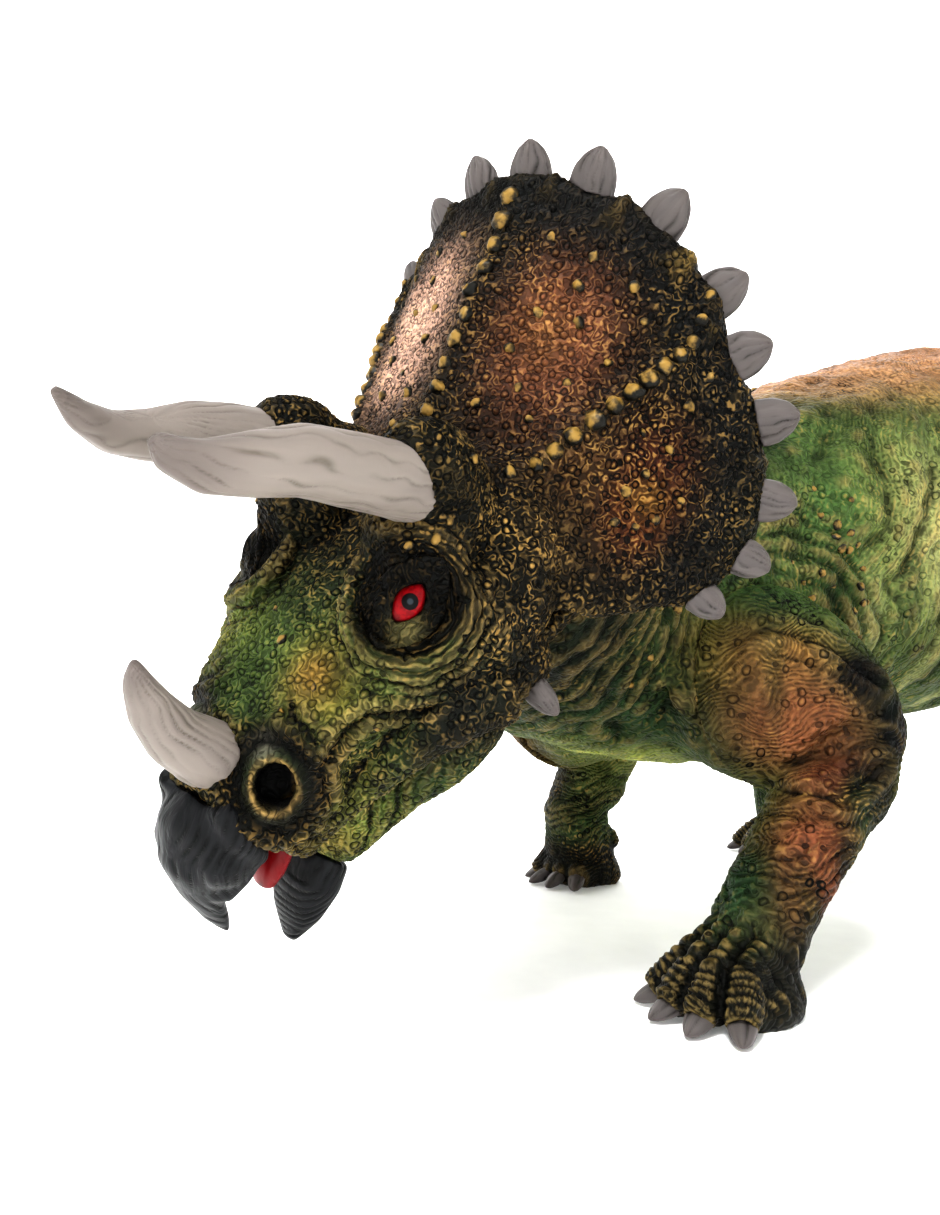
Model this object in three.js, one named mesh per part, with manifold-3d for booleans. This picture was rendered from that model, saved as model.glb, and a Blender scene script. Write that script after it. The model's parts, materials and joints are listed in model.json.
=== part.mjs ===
// A standing three-horned dinosaur figure in soft moulded vinyl, in millimetres.
// +X points to the front, +Y to the figure's left and +Z up; the soles stand on z = 0.
// Thin hollow shells make the trunk, the head, the legs and the tail. The head, the legs and the
// tail turn on snap-in plugs, and the lower jaw swings on a pin. Horns, spikes, beaks, eyes, tongue
// and claws are separate mouldings set into sockets.

import * as THREE from 'three';
import { mergeVertices } from 'three/addons/utils/BufferGeometryUtils.js';
import Module from 'manifold-3d';

const wasm = await Module();
wasm.setup();

// Walls and fits
const WALL = 2.6;
const FIXED_GAP = 0.35;
const RUNNING_GAP = 0.5;
const OVERRUN = 400;

// Trunk: the sizes that its table of shares follows
const TRUNK_LENGTH = 300;
const BACK_HEIGHT = 246;
const TRUNK_WIDTH = 148;

// Neck: where it leaves the chest, and the round seat that carries the head
const CHEST_FORWARD = 5;
const CHEST_HEIGHT = 111;
const NECK_RADIUS = 40;
const NECK_SEAT_FORWARD = 87.4;
const NECK_SEAT_LEFT = 49.1;
const NECK_SEAT_HEIGHT = 119.9;
const NECK_BEND = 34;
const HEAD_TURN_DEG = 29.9;
const HEAD_LIFT_DEG = 8.6;
const HEAD_TILT_DEG = -19.6;

// Tail
const TAIL_ROOT_RADIUS = 31;
const TAIL_DROP_DEG = 17;
const TAIL_LENGTH = 140;

// Snap-in plugs
const NECK_PLUG_RADIUS = 21;
const TAIL_PLUG_RADIUS = 14;
const SHOULDER_PLUG_RADIUS = 16;
const HIP_PLUG_RADIUS = 18;
const PLUG_LIP = 2.6;
const PLUG_LIP_LENGTH = 4;

// Legs: the height of each pivot is the length that the limb's shares follow
const SHOULDER_BACK = 12;
const SHOULDER_HEIGHT = 80;
const SHOULDER_SPREAD = 50;
const SHOULDER_RADIUS = 31;
const SHOULDER_BULGE = 19;
const HIP_BACK = 212;
const HIP_HEIGHT = 132;
const HIP_SPREAD = 58;
const HIP_RADIUS = 44;
const HIP_BULGE = 22;
const FOREFOOT_LENGTH = 34;
const HINDFOOT_LENGTH = 44;
const CLAW_LENGTH = 12;
const CLAW_WIDTH = 8;

// Head: lengths run from the saddle between the brow horns
const FACE_LENGTH = 100;
const FRILL_RISE = 63;
const FRILL_HALF_WIDTH = 60;
const FRILL_SAG = 42;
const FRILL_THICKNESS = 6;
const NECK_SEAT_DOWN_FACE = 8.6;
const NECK_SEAT_DEPTH = 30;
const SPIKE_LENGTH = 9;
const SPIKE_WIDTH = 12.5;
const SPIKE_ROOT = 4;
const CHEEK_SPIKE_LENGTH = 8;
const CHEEK_SPIKE_WIDTH = 7;
const BROW_HORN_RADIUS = 7.3;
const NOSE_HORN_RADIUS = 6.6;
const EYE_RADIUS = 5.8;
const JAW_PIN_RADIUS = 1.6;
const JAW_BARREL_RADIUS = 8.6;
const JAW_BARREL_HALF_LENGTH = 17;
const TONGUE_PEG_RADIUS = 2.2;

// How square a section is: 2 is an ellipse, and more is squarer
const TRUNK_SQUARENESS = 2.2;
const FACE_SQUARENESS = 2.3;
const JAW_SQUARENESS = 2.6;

// How finely round forms are faceted
const TRUNK_SIDES = 24;
const FACE_SIDES = 20;
const LIMB_SIDES = 12;
const HORN_SIDES = 10;
const SMALL_SIDES = 6;
const ROUND_SIDES = 24;
const PLUG_SIDES = 20;
const INSIDE_SIDES = 12;
const FRILL_STEPS = 12;
const RIM_STEPS = 36;

const COLOURS = {
  trunk: 0x6f8a3c, head: 0x4c5230, foreleg: 0x9a5a34, hindleg: 0x6d7c3a, tail: 0x7d7a3a,
  horn: 0x8f8a87, claw: 0x77716e, beak: 0x3d3d3f, tongue: 0xa31620, eye: 0xb01020, jaw: 0x5f6e37,
  pin: 0xb9bcc0,
};
const VINYL_ROUGHNESS = 0.55;
const GLOSS_ROUGHNESS = 0.2;

// The trunk's flares swell from its middle to the legs' seats, from this share of their radius.
const FLARE_ROOT_SHARE = 0.62;
// How far round its quarter circle each ring of a leg's dome lies.
const DOME_TURN_SHARES = [0, 0.25, 0.5, 0.75, 0.92];

// Trunk stations from the tail root to the chest: along and height of the back, along and height
// of the belly, and half the width, as shares of the trunk's length, height and width.
const TRUNK_SHARES = [
  [-0.873, 0.919, -0.84, 0.496, 0.297],
  [-0.783, 0.98, -0.753, 0.398, 0.372],
  [-0.683, 1, -0.66, 0.341, 0.4],
  [-0.573, 0.972, -0.567, 0.309, 0.43],
  [-0.467, 0.935, -0.467, 0.285, 0.485],
  [-0.36, 0.886, -0.36, 0.289, 0.493],
  [-0.267, 0.837, -0.26, 0.276, 0.459],
  [-0.167, 0.78, -0.167, 0.244, 0.405],
  [-0.067, 0.724, -0.073, 0.22, 0.351],
];
// The tail's seat: back and height, as shares of the trunk's length and height.
const TAIL_ROOT_SHARES = [0.947, 0.703];
// Neck rings between the chest and the seat: place along the bend, half height and half width as
// shares of the neck's radius.
const NECK_SHARES = [[0, 1.375, 1.2], [0.3, 1.26, 1.13], [0.55, 1.13, 1.06], [0.8, 1.03, 1.02]];

// Limb rings: forward, outward and height as shares of the pivot's height, then the ring's half
// depth and half width.
const LEFT_FORELEG_SHARES = [
  [0.025, 0.075, 1.07, 0.3, 0.2], [-0.11, 0.138, 0.95, 0.27, 0.225],
  [-0.205, 0.175, 0.825, 0.205, 0.22], [-0.09, 0.2, 0.65, 0.165, 0.195],
  [0.12, 0.21, 0.46, 0.138, 0.175], [0.31, 0.22, 0.275, 0.122, 0.165],
  [0.44, 0.24, 0.14, 0.13, 0.17], [0.475, 0.255, 0.05, 0.145, 0.175],
];
const RIGHT_FORELEG_SHARES = [
  [-0.05, 0.075, 1.07, 0.3, 0.2], [-0.225, 0.138, 0.93, 0.27, 0.22],
  [-0.4, 0.19, 0.775, 0.22, 0.21], [-0.31, 0.22, 0.575, 0.18, 0.19],
  [-0.2, 0.235, 0.375, 0.165, 0.175], [-0.225, 0.248, 0.19, 0.17, 0.18],
  [-0.26, 0.25, 0.05, 0.185, 0.19],
];
const LEFT_HINDLEG_SHARES = [
  [0, 0.06, 0.92, 0.27, 0.19], [0.08, 0.12, 0.75, 0.24, 0.17], [0.1, 0.15, 0.6, 0.19, 0.155],
  [0.01, 0.155, 0.43, 0.145, 0.14], [-0.08, 0.15, 0.28, 0.115, 0.125],
  [-0.1, 0.145, 0.13, 0.115, 0.12], [-0.09, 0.14, 0.03, 0.125, 0.13],
];
const RIGHT_HINDLEG_SHARES = [
  [0, 0.06, 0.92, 0.27, 0.19], [0.15, 0.13, 0.74, 0.23, 0.17], [0.27, 0.17, 0.58, 0.18, 0.155],
  [0.32, 0.175, 0.42, 0.135, 0.14], [0.31, 0.16, 0.26, 0.115, 0.125],
  [0.31, 0.145, 0.12, 0.115, 0.12], [0.32, 0.14, 0.03, 0.125, 0.13],
];
// Foot rings: height, half length and half width, as shares of the foot's length.
const FOOT_SHARES = [[0, 0.42, 0.39], [0.06, 0.46, 0.43], [0.2, 0.45, 0.42], [0.36, 0.34, 0.34]];
const TOE_SPREAD_DEG = [-40, -11, 16, 43];
const TOE_REACH_SHARE = 0.4;
const TOE_SHARES = [0.22, 0.15, 0.16];
const CLAW_REACH_SHARE = 0.55;
const CLAW_HEIGHT_SHARE = 0.5;
const CLAW_DROP_DEG = 22;

// Tail rings: back, left, rise and radius, as shares of the tail's length, past its round seat.
const TAIL_SHARES = [
  [0.2, 0, -0.09, 0.185], [0.42, -0.01, -0.23, 0.142], [0.62, -0.04, -0.4, 0.098],
  [0.78, -0.09, -0.56, 0.056], [0.86, -0.13, -0.66, 0.02],
];

// Head stations: down the face and height of the upper outline, the same for the lower one, and
// half the width, as shares of the face's length.
const SKULL_SHARES = [
  [-0.12, -0.06, -0.12, -0.29, 0.2], [0, -0.01, 0, -0.3, 0.29], [0.14, 0.04, 0.14, -0.3, 0.345],
  [0.27, 0.08, 0.27, -0.3, 0.375], [0.39, 0.12, 0.39, -0.295, 0.37],
  [0.48, 0.15, 0.5, -0.22, 0.32], [0.58, 0.175, 0.585, -0.08, 0.25],
  [0.68, 0.2, 0.68, -0.065, 0.205], [0.76, 0.215, 0.78, -0.065, 0.185],
  [0.83, 0.225, 0.86, -0.08, 0.17], [0.87, 0.225, 0.93, -0.09, 0.152],
];
const CAVITY_LAST_STATION = 6;
const UPPER_BEAK_SHARES = [
  [0.835, 0.225, 0.95, 0.105, 0.112], [0.91, 0.242, 0.98, 0.09, 0.105],
  [0.995, 0.215, 1.02, 0.07, 0.075], [1.055, 0.145, 1.055, 0.045, 0.05],
  [1.105, 0.065, 1.09, 0.01, 0.028], [1.14, -0.008, 1.13, -0.018, 0.008],
];
const BEAK_SEAM_SHARE = 1.06;
const JAW_SHARES = [
  [0.53, -0.17, 0.565, -0.37, 0.22], [0.595, -0.03, 0.6, -0.43, 0.25],
  [0.68, 0, 0.7, -0.385, 0.205], [0.78, -0.01, 0.8, -0.315, 0.175],
  [0.86, -0.04, 0.89, -0.26, 0.14], [0.93, -0.1, 0.95, -0.235, 0.102],
];
const LOWER_BEAK_SHARES = [
  [0.93, -0.112, 0.95, -0.235, 0.1], [1.02, -0.125, 1.02, -0.255, 0.088],
  [1.09, -0.15, 1.1, -0.25, 0.062], [1.165, -0.2, 1.17, -0.225, 0.02],
];
const TONGUE_SHARES = [
  [0.8, -0.025, 0.8, -0.072, 0.05], [0.91, -0.015, 0.915, -0.078, 0.06],
  [0.99, -0.02, 0.985, -0.078, 0.055], [1.04, -0.045, 1.03, -0.08, 0.03],
];
const JAW_HINGE_SHARES = [0.5, -0.165];
const TONGUE_PEG_SHARES = [0.855, -0.05, 0.07];
const MOUTH_SHARES = { at: [0.93, 0, -0.03], radii: [0.17, 0.11, 0.09] };

// Raised forms on the face: centre and radii as shares of its length, on the left side.
const BROW_BOSS_SHARES = { at: [0.2, 0.155, 0.05], radii: [0.18, 0.125, 0.145] };
const EYE_MOUND_SHARES = { at: [0.365, 0.165, 0.04], radii: [0.15, 0.105, 0.105] };
const NOSTRIL_MOUND_SHARES = { at: [0.76, 0.1, 0.09], radii: [0.12, 0.085, 0.11] };
const NOSTRIL_SHARES = { at: [0.766, 0.155, 0.185], radii: [0.042, 0.04, 0.05] };
const NOSE_BOSS_SHARES = { at: [0.77, 0, 0.18], radii: [0.1, 0.08, 0.07] };
const CHEEK_BOSS_SHARES = { at: [0.4, 0.32, -0.17], radii: [0.1, 0.07, 0.1] };
const EYE_SHARES = [0.365, 0.228, 0.104];
const EYE_FACING_SHARES = [0, 0.62, 0.78];
const EYE_SINK_SHARE = 0.6;

// Horn centre lines down the face, to the side and up, as shares of the face's length. The two
// brow horns have each taken a slightly different set.
const LEFT_HORN_SHARES = [
  [0.165, 0.182, 0.16], [0.174, 0.19, 0.227], [0.205, 0.2, 0.347], [0.236, 0.21, 0.461],
  [0.28, 0.21, 0.543], [0.314, 0.2, 0.61], [0.315, 0.18, 0.656], [0.302, 0.17, 0.68],
];
const RIGHT_HORN_SHARES = [
  [0.142, -0.18, 0.13], [0.155, -0.19, 0.2], [0.18, -0.205, 0.3], [0.21, -0.21, 0.38],
  [0.256, -0.21, 0.455], [0.282, -0.2, 0.53], [0.281, -0.18, 0.6], [0.262, -0.17, 0.66],
];
const BROW_HORN_TAPER_SHARES = [1, 1, 0.92, 0.82, 0.7, 0.56, 0.4, 0.16];
const NOSE_HORN_SHARES = [
  [0.77, 0, 0.205], [0.76, 0, 0.25], [0.742, 0, 0.315], [0.702, 0, 0.382], [0.66, 0, 0.428],
  [0.624, 0, 0.452],
];
const NOSE_HORN_TAPER_SHARES = [1.05, 1, 0.86, 0.66, 0.42, 0.14];

// Left half of the frill's rim from the crest down to the cheek: down the face and to the side, as
// shares of the frill's rise and half width. Spikes stand on the first nine.
const FRILL_SHARES = [
  [-1, 0], [-0.99, 0.245], [-0.935, 0.49], [-0.775, 0.7], [-0.62, 0.81], [-0.46, 0.93],
  [-0.22, 1], [-0.01, 1], [0.18, 0.94], [0.26, 0.87], [0.33, 0.78], [0.4, 0.68], [0.42, 0.45],
];
const SPIKE_SIZE_SHARES = [1, 1, 1, 1, 1, 1, 0.92, 0.84, 0.8];
const SPIKE_LEAN_DEG = 40;
const SPIKE_SHARES = [[-1, 0.4], [-0.1, 0.4], [0, 1], [0.42, 0.92], [0.75, 0.64], [1, 0.16]];
const SPIKE_FLATNESS_SHARE = 0.55;
const CHEEK_SPIKE_SHARES = { at: [0.43, 0.37, -0.2], facing: [0.45, 0.85, -0.25] };
const CLAW_SHARES = [[-1, 0.7], [0, 1], [0.4, 0.88], [0.75, 0.6], [1, 0.16]];
const CLAW_ROOT_SHARE = 0.35;
const CLAW_FLATNESS_SHARE = 0.7;

const X_AXIS = new THREE.Vector3(1, 0, 0);
const Y_AXIS = new THREE.Vector3(0, 1, 0);
const Z_AXIS = new THREE.Vector3(0, 0, 1);

const radians = THREE.MathUtils.degToRad;
const point = (x, y, z) => new THREE.Vector3(x, y, z);
const scaled = (shares, size) => point(...shares).multiplyScalar(size);

// A ring is a centre and two half axes; a form is skinned over a row of rings.
const ring = (centre, up, side) => ({ centre, up, side });

function ringPoint({ centre, up, side }, angle, power) {
  const rise = Math.sign(Math.cos(angle)) * Math.abs(Math.cos(angle)) ** (2 / power);
  const reach = Math.sign(Math.sin(angle)) * Math.abs(Math.sin(angle)) ** (2 / power);
  return centre.clone().addScaledVector(up, rise).addScaledVector(side, reach);
}

function signedVolume(points, triangles) {
  let volume = 0;
  for (const [a, b, c] of triangles) {
    volume += points[a].dot(points[b].clone().cross(points[c]));
  }
  return volume;
}

// Closes the rings with a fan at each end and turns every face outwards.
function skin(rings, sides, power = 2) {
  const points = [];
  const triangles = [];
  for (const each of rings) {
    for (let side = 0; side < sides; side += 1) {
      points.push(ringPoint(each, (2 * Math.PI * side) / sides, power));
    }
  }
  for (let row = 0; row + 1 < rings.length; row += 1) {
    for (let side = 0; side < sides; side += 1) {
      const next = (side + 1) % sides;
      const [a, b] = [row * sides + side, row * sides + next];
      triangles.push([a, b, b + sides], [a, b + sides, a + sides]);
    }
  }
  const first = points.push(rings[0].centre) - 1;
  const last = points.push(rings.at(-1).centre) - 1;
  const start = (rings.length - 1) * sides;
  for (let side = 0; side < sides; side += 1) {
    const next = (side + 1) % sides;
    triangles.push([first, next, side], [last, start + side, start + next]);
  }
  const outward = signedVolume(points, triangles) > 0;
  const geometry = new THREE.BufferGeometry().setFromPoints(points);
  geometry.setIndex(triangles.flatMap(([a, b, c]) => (outward ? [a, b, c] : [a, c, b])));
  return geometry;
}

// The same rings a wall's thickness further in, for the inside of a hollow moulding.
function insetRings(rings, wall) {
  const shrink = (axis) => axis.clone().setLength(Math.max(axis.length() - wall, wall));
  const inset = rings.map(({ centre, up, side }) => ring(centre.clone(), shrink(up), shrink(side)));
  const pull = (from, to) => {
    const step = to.centre.clone().sub(from.centre).setLength(wall);
    return from.centre.clone().add(step);
  };
  inset[0].centre = pull(rings[0], rings[1]);
  inset.at(-1).centre = pull(rings.at(-1), rings.at(-2));
  return inset;
}

// Rings square to a path, the sideways half axis kept as level with `across` as it can be.
function pathRings(path, depths, across, widths = depths) {
  return path.map((centre, index) => {
    const before = path[Math.max(index - 1, 0)];
    const after = path[Math.min(index + 1, path.length - 1)];
    const along = after.clone().sub(before).normalize();
    const side = across.clone().addScaledVector(along, -across.dot(along)).normalize();
    const up = side.clone().cross(along);
    return ring(centre, up.multiplyScalar(depths[index]), side.multiplyScalar(widths[index]));
  });
}

// Rings between an upper and a lower outline in the plane that halves the head.
function profileRings(shares, size, grow = 0) {
  return shares.map(([topAlong, topUp, lowAlong, lowUp, halfWidth]) => {
    const top = point(topAlong, 0, topUp).multiplyScalar(size);
    const low = point(lowAlong, 0, lowUp).multiplyScalar(size);
    const up = top.clone().sub(low).multiplyScalar(0.5);
    const side = Y_AXIS.clone().multiplyScalar(halfWidth * size + grow);
    return ring(top.add(low).multiplyScalar(0.5), up.setLength(up.length() + grow), side);
  });
}

// Rings of a dome that stands on a round seat and closes over `height`.
function domeRings(centre, radius, outward, height) {
  return DOME_TURN_SHARES.map((turn) => {
    const angle = 0.5 * Math.PI * turn;
    const reach = radius * Math.cos(angle);
    const at = centre.clone().addScaledVector(outward, height * Math.sin(angle));
    return ring(at, Z_AXIS.clone().multiplyScalar(reach), X_AXIS.clone().multiplyScalar(reach));
  });
}

function solid(geometry) {
  const bare = geometry.clone();
  bare.deleteAttribute('normal');
  bare.deleteAttribute('uv');
  const merged = mergeVertices(bare);
  const vertProperties = new Float32Array(merged.attributes.position.array);
  const triVerts = new Uint32Array(merged.index.array);
  return new wasm.Manifold(new wasm.Mesh({ numProp: 3, vertProperties, triVerts }));
}

function geometryOf(manifold) {
  const mesh = manifold.getMesh();
  const geometry = new THREE.BufferGeometry();
  geometry.setAttribute('position', new THREE.BufferAttribute(mesh.vertProperties, 3));
  geometry.setIndex(new THREE.BufferAttribute(mesh.triVerts, 1));
  return geometry;
}

// A round bar or cone from one point to another.
function bar(from, to, radius, sides = ROUND_SIDES, startRadius = radius) {
  const along = to.clone().sub(from);
  const geometry = new THREE.CylinderGeometry(radius, startRadius, along.length(), sides);
  const turn = new THREE.Quaternion().setFromUnitVectors(Y_AXIS, along.clone().normalize());
  geometry.applyQuaternion(turn);
  const middle = from.clone().add(to).multiplyScalar(0.5);
  return solid(geometry.translate(middle.x, middle.y, middle.z));
}

function ellipsoid({ at, radii }, size, side = 1, sides = HORN_SIDES) {
  const geometry = new THREE.SphereGeometry(1, sides, sides / 2);
  geometry.scale(...radii.map((share) => share * size));
  return solid(geometry.translate(at[0] * size, side * at[1] * size, at[2] * size));
}

// Everything on the far side of a plane, as one big block.
function beyond(origin, direction) {
  const geometry = new THREE.BoxGeometry(OVERRUN, 2 * OVERRUN, 2 * OVERRUN);
  geometry.translate(0.5 * OVERRUN, 0, 0);
  geometry.applyQuaternion(new THREE.Quaternion().setFromUnitVectors(X_AXIS, direction));
  return solid(geometry.translate(origin.x, origin.y, origin.z));
}

// A plug that passes a wall and keeps itself behind it with a lip, and the hole that it runs in.
// `inward` points from the moving piece's seat face into the body that carries it.
function plug(seat, inward, radius) {
  const root = seat.clone().addScaledVector(inward, -WALL);
  const neck = WALL + 2 * RUNNING_GAP;
  const lipStart = seat.clone().addScaledVector(inward, neck);
  const end = lipStart.clone().addScaledVector(inward, PLUG_LIP_LENGTH);
  return bar(root, end, radius, PLUG_SIDES)
    .add(bar(lipStart, end, radius + PLUG_LIP, INSIDE_SIDES));
}

function plugBore(seat, inward, radius) {
  const end = seat.clone().addScaledVector(inward, OVERRUN);
  return bar(seat.clone().addScaledVector(inward, -2 * WALL), end, radius - WALL, INSIDE_SIDES);
}

function plugHole(seat, inward, radius) {
  const start = seat.clone().addScaledVector(inward, -WALL);
  return bar(start, seat.clone().addScaledVector(inward, 2 * WALL), radius + RUNNING_GAP, PLUG_SIDES);
}

function material(colour, roughness = VINYL_ROUGHNESS) {
  return new THREE.MeshStandardMaterial({ color: colour, roughness, metalness: 0 });
}

function piece(name, geometry, colour, roughness) {
  const mesh = new THREE.Mesh(geometry, material(colour, roughness));
  mesh.name = name;
  return mesh;
}

// A small moulding that points along +X, flattened across Z, with its root below x = 0.
function pointed(length, width, root, shares, flatness, grow = 0) {
  const rings = shares.map(([along, share]) => {
    const place = along < 0 ? along * (root + grow) : along * length;
    const half = 0.5 * width * share + grow;
    const side = Y_AXIS.clone().multiplyScalar(half);
    const up = Z_AXIS.clone().multiplyScalar(0.5 * width * share * flatness + grow);
    return ring(point(place, 0, 0), up, side);
  });
  return skin(rings, SMALL_SIDES);
}

// Turns and moves a piece made along +X: +X goes to `along`, and +Y lies across `normal`.
function seatMatrix(origin, along, normal) {
  const x = along.clone().normalize();
  const y = normal.clone().cross(x).normalize();
  const z = x.clone().cross(y);
  return new THREE.Matrix4().makeBasis(x, y, z).setPosition(origin);
}

const whole = new THREE.Group();

// The neck's axis frame: its X axis leaves the chest along the neck, through the head's seat.
const neckAxis = new THREE.Group();
neckAxis.rotation.set(
  radians(HEAD_TILT_DEG), -radians(HEAD_LIFT_DEG), radians(HEAD_TURN_DEG), 'ZYX');
neckAxis.position.set(NECK_SEAT_FORWARD, NECK_SEAT_LEFT, NECK_SEAT_HEIGHT);
const neckWay = X_AXIS.clone().applyEuler(neckAxis.rotation);

// The head's own frame: X runs down the face, Y to the left and Z out of the brow.
const head = new THREE.Group();
head.rotation.y = 0.5 * Math.PI;
head.position.set(NECK_SEAT_DEPTH, 0, NECK_SEAT_DOWN_FACE);
neckAxis.add(head);
whole.add(neckAxis);

const tailDrop = radians(TAIL_DROP_DEG);
const tailWay = point(-Math.cos(tailDrop), 0, -Math.sin(tailDrop));
const tailSeat = point(
  -TAIL_ROOT_SHARES[0] * TRUNK_LENGTH, 0, TAIL_ROOT_SHARES[1] * BACK_HEIGHT);

function seatRing(centre, way, radius, across) {
  const side = across.clone().addScaledVector(way, -across.dot(way)).normalize();
  const up = side.clone().cross(way);
  return ring(centre, up.multiplyScalar(-radius), side.multiplyScalar(radius));
}

function neckRings() {
  const start = point(CHEST_FORWARD, 0, CHEST_HEIGHT);
  const seat = neckAxis.position.clone();
  const curve = new THREE.CubicBezierCurve3(
    start,
    start.clone().addScaledVector(X_AXIS, NECK_BEND),
    seat.clone().addScaledVector(neckWay, -NECK_BEND),
    seat,
  );
  const rings = NECK_SHARES.map(([along, tall, wide]) => {
    const each = seatRing(curve.getPoint(along), curve.getTangent(along), NECK_RADIUS, Y_AXIS);
    return ring(each.centre, each.up.multiplyScalar(tall), each.side.multiplyScalar(wide));
  });
  return [...rings, seatRing(seat, neckWay, NECK_RADIUS, Y_AXIS)];
}

function trunkRings() {
  const stations = TRUNK_SHARES.map(([backX, backZ, bellyX, bellyZ, halfWidth]) => {
    const back = point(backX * TRUNK_LENGTH, 0, backZ * BACK_HEIGHT);
    const belly = point(bellyX * TRUNK_LENGTH, 0, bellyZ * BACK_HEIGHT);
    const up = back.clone().sub(belly).multiplyScalar(0.5);
    const side = Y_AXIS.clone().multiplyScalar(halfWidth * TRUNK_WIDTH);
    return ring(back.add(belly).multiplyScalar(0.5), up, side);
  });
  const root = seatRing(tailSeat, tailWay.clone().negate(), TAIL_ROOT_RADIUS, Y_AXIS);
  return [root, ...stations, ...neckRings()];
}

// Where each leg is carried: the middle of its round seat and the way out of the trunk.
const LEGS = [
  { name: 'left_foreleg', side: 1, fore: true, shares: LEFT_FORELEG_SHARES },
  { name: 'right_foreleg', side: -1, fore: true, shares: RIGHT_FORELEG_SHARES },
  { name: 'left_hindleg', side: 1, fore: false, shares: LEFT_HINDLEG_SHARES },
  { name: 'right_hindleg', side: -1, fore: false, shares: RIGHT_HINDLEG_SHARES },
].map((leg) => ({
  ...leg,
  height: leg.fore ? SHOULDER_HEIGHT : HIP_HEIGHT,
  spread: leg.fore ? SHOULDER_SPREAD : HIP_SPREAD,
  radius: leg.fore ? SHOULDER_RADIUS : HIP_RADIUS,
  bulge: leg.fore ? SHOULDER_BULGE : HIP_BULGE,
  back: leg.fore ? SHOULDER_BACK : HIP_BACK,
  plugRadius: leg.fore ? SHOULDER_PLUG_RADIUS : HIP_PLUG_RADIUS,
  footLength: leg.fore ? FOREFOOT_LENGTH : HINDFOOT_LENGTH,
  outward: Y_AXIS.clone().multiplyScalar(leg.side),
}));

const legSeat = (leg) => point(-leg.back, leg.side * leg.spread, leg.height);

function trunkShell() {
  const rings = trunkRings();
  let outside = solid(skin(rings, TRUNK_SIDES, TRUNK_SQUARENESS));
  let inside = solid(skin(insetRings(rings, WALL), INSIDE_SIDES, TRUNK_SQUARENESS));
  for (const leg of LEGS) {
    const seat = legSeat(leg);
    const middle = seat.clone().setY(0);
    const inner = seat.clone().addScaledVector(leg.outward, -WALL);
    const root = FLARE_ROOT_SHARE * leg.radius;
    outside = outside.add(bar(middle, seat, leg.radius, ROUND_SIDES, root));
    inside = inside.add(bar(middle, inner, leg.radius - WALL, INSIDE_SIDES, root - WALL));
    const past = seat.clone().addScaledVector(leg.outward, OVERRUN);
    const pocket = bar(seat, past, leg.radius + RUNNING_GAP);
    outside = outside.subtract(pocket);
    const inPocket = bar(inner, past, leg.radius + RUNNING_GAP + WALL, INSIDE_SIDES);
    inside = inside.subtract(inPocket);
  }
  let shell = outside.subtract(inside);
  for (const leg of LEGS) {
    const inward = leg.outward.clone().negate();
    shell = shell.subtract(plugHole(legSeat(leg), inward, leg.plugRadius));
  }
  shell = shell.subtract(plugHole(neckAxis.position, neckWay.clone().negate(), NECK_PLUG_RADIUS));
  return shell.subtract(plugHole(tailSeat, tailWay.clone().negate(), TAIL_PLUG_RADIUS));
}

whole.add(piece('body_shell', geometryOf(trunkShell()), COLOURS.trunk));

// A leg in the frame of its pivot: X forward, Y outward to its own side and Z up.
function limbRings(leg) {
  const path = leg.shares.map(([forward, out, height]) => point(
    forward * leg.height, leg.side * out * leg.height, (height - 1) * leg.height));
  const depths = leg.shares.map((row) => row[3] * leg.height);
  const widths = leg.shares.map((row) => row[4] * leg.height);
  return pathRings(path, depths, leg.outward, widths);
}

function footCentre(leg) {
  const [forward, out] = leg.shares.at(-1);
  return point(forward * leg.height, leg.side * out * leg.height, -leg.height);
}

function footRings(leg) {
  return FOOT_SHARES.map(([rise, halfLength, halfWidth]) => ring(
    footCentre(leg).addScaledVector(Z_AXIS, rise * leg.footLength),
    X_AXIS.clone().multiplyScalar(halfLength * leg.footLength),
    Y_AXIS.clone().multiplyScalar(halfWidth * leg.footLength),
  ));
}

const toeWay = (degrees) => X_AXIS.clone().applyAxisAngle(Z_AXIS, radians(degrees));

function toe(leg, degrees) {
  const centre = footCentre(leg).addScaledVector(toeWay(degrees), TOE_REACH_SHARE * leg.footLength);
  const [along, across, tall] = TOE_SHARES.map((share) => share * leg.footLength);
  const geometry = new THREE.SphereGeometry(1, SMALL_SIDES, 0.5 * SMALL_SIDES);
  geometry.scale(along, across, tall).rotateZ(radians(degrees));
  return solid(geometry.translate(centre.x, centre.y, centre.z + tall));
}

function clawMatrix(leg, degrees) {
  const way = toeWay(degrees);
  const origin = footCentre(leg).addScaledVector(way, CLAW_REACH_SHARE * leg.footLength);
  origin.z += CLAW_HEIGHT_SHARE * CLAW_WIDTH;
  const down = way.clone().addScaledVector(Z_AXIS, -Math.tan(radians(CLAW_DROP_DEG)));
  return seatMatrix(origin, down, Z_AXIS);
}

const clawRoot = CLAW_ROOT_SHARE * CLAW_LENGTH;
const claw = (grow) => pointed(
  CLAW_LENGTH - clawRoot, CLAW_WIDTH, clawRoot, CLAW_SHARES, CLAW_FLATNESS_SHARE, grow);

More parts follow.
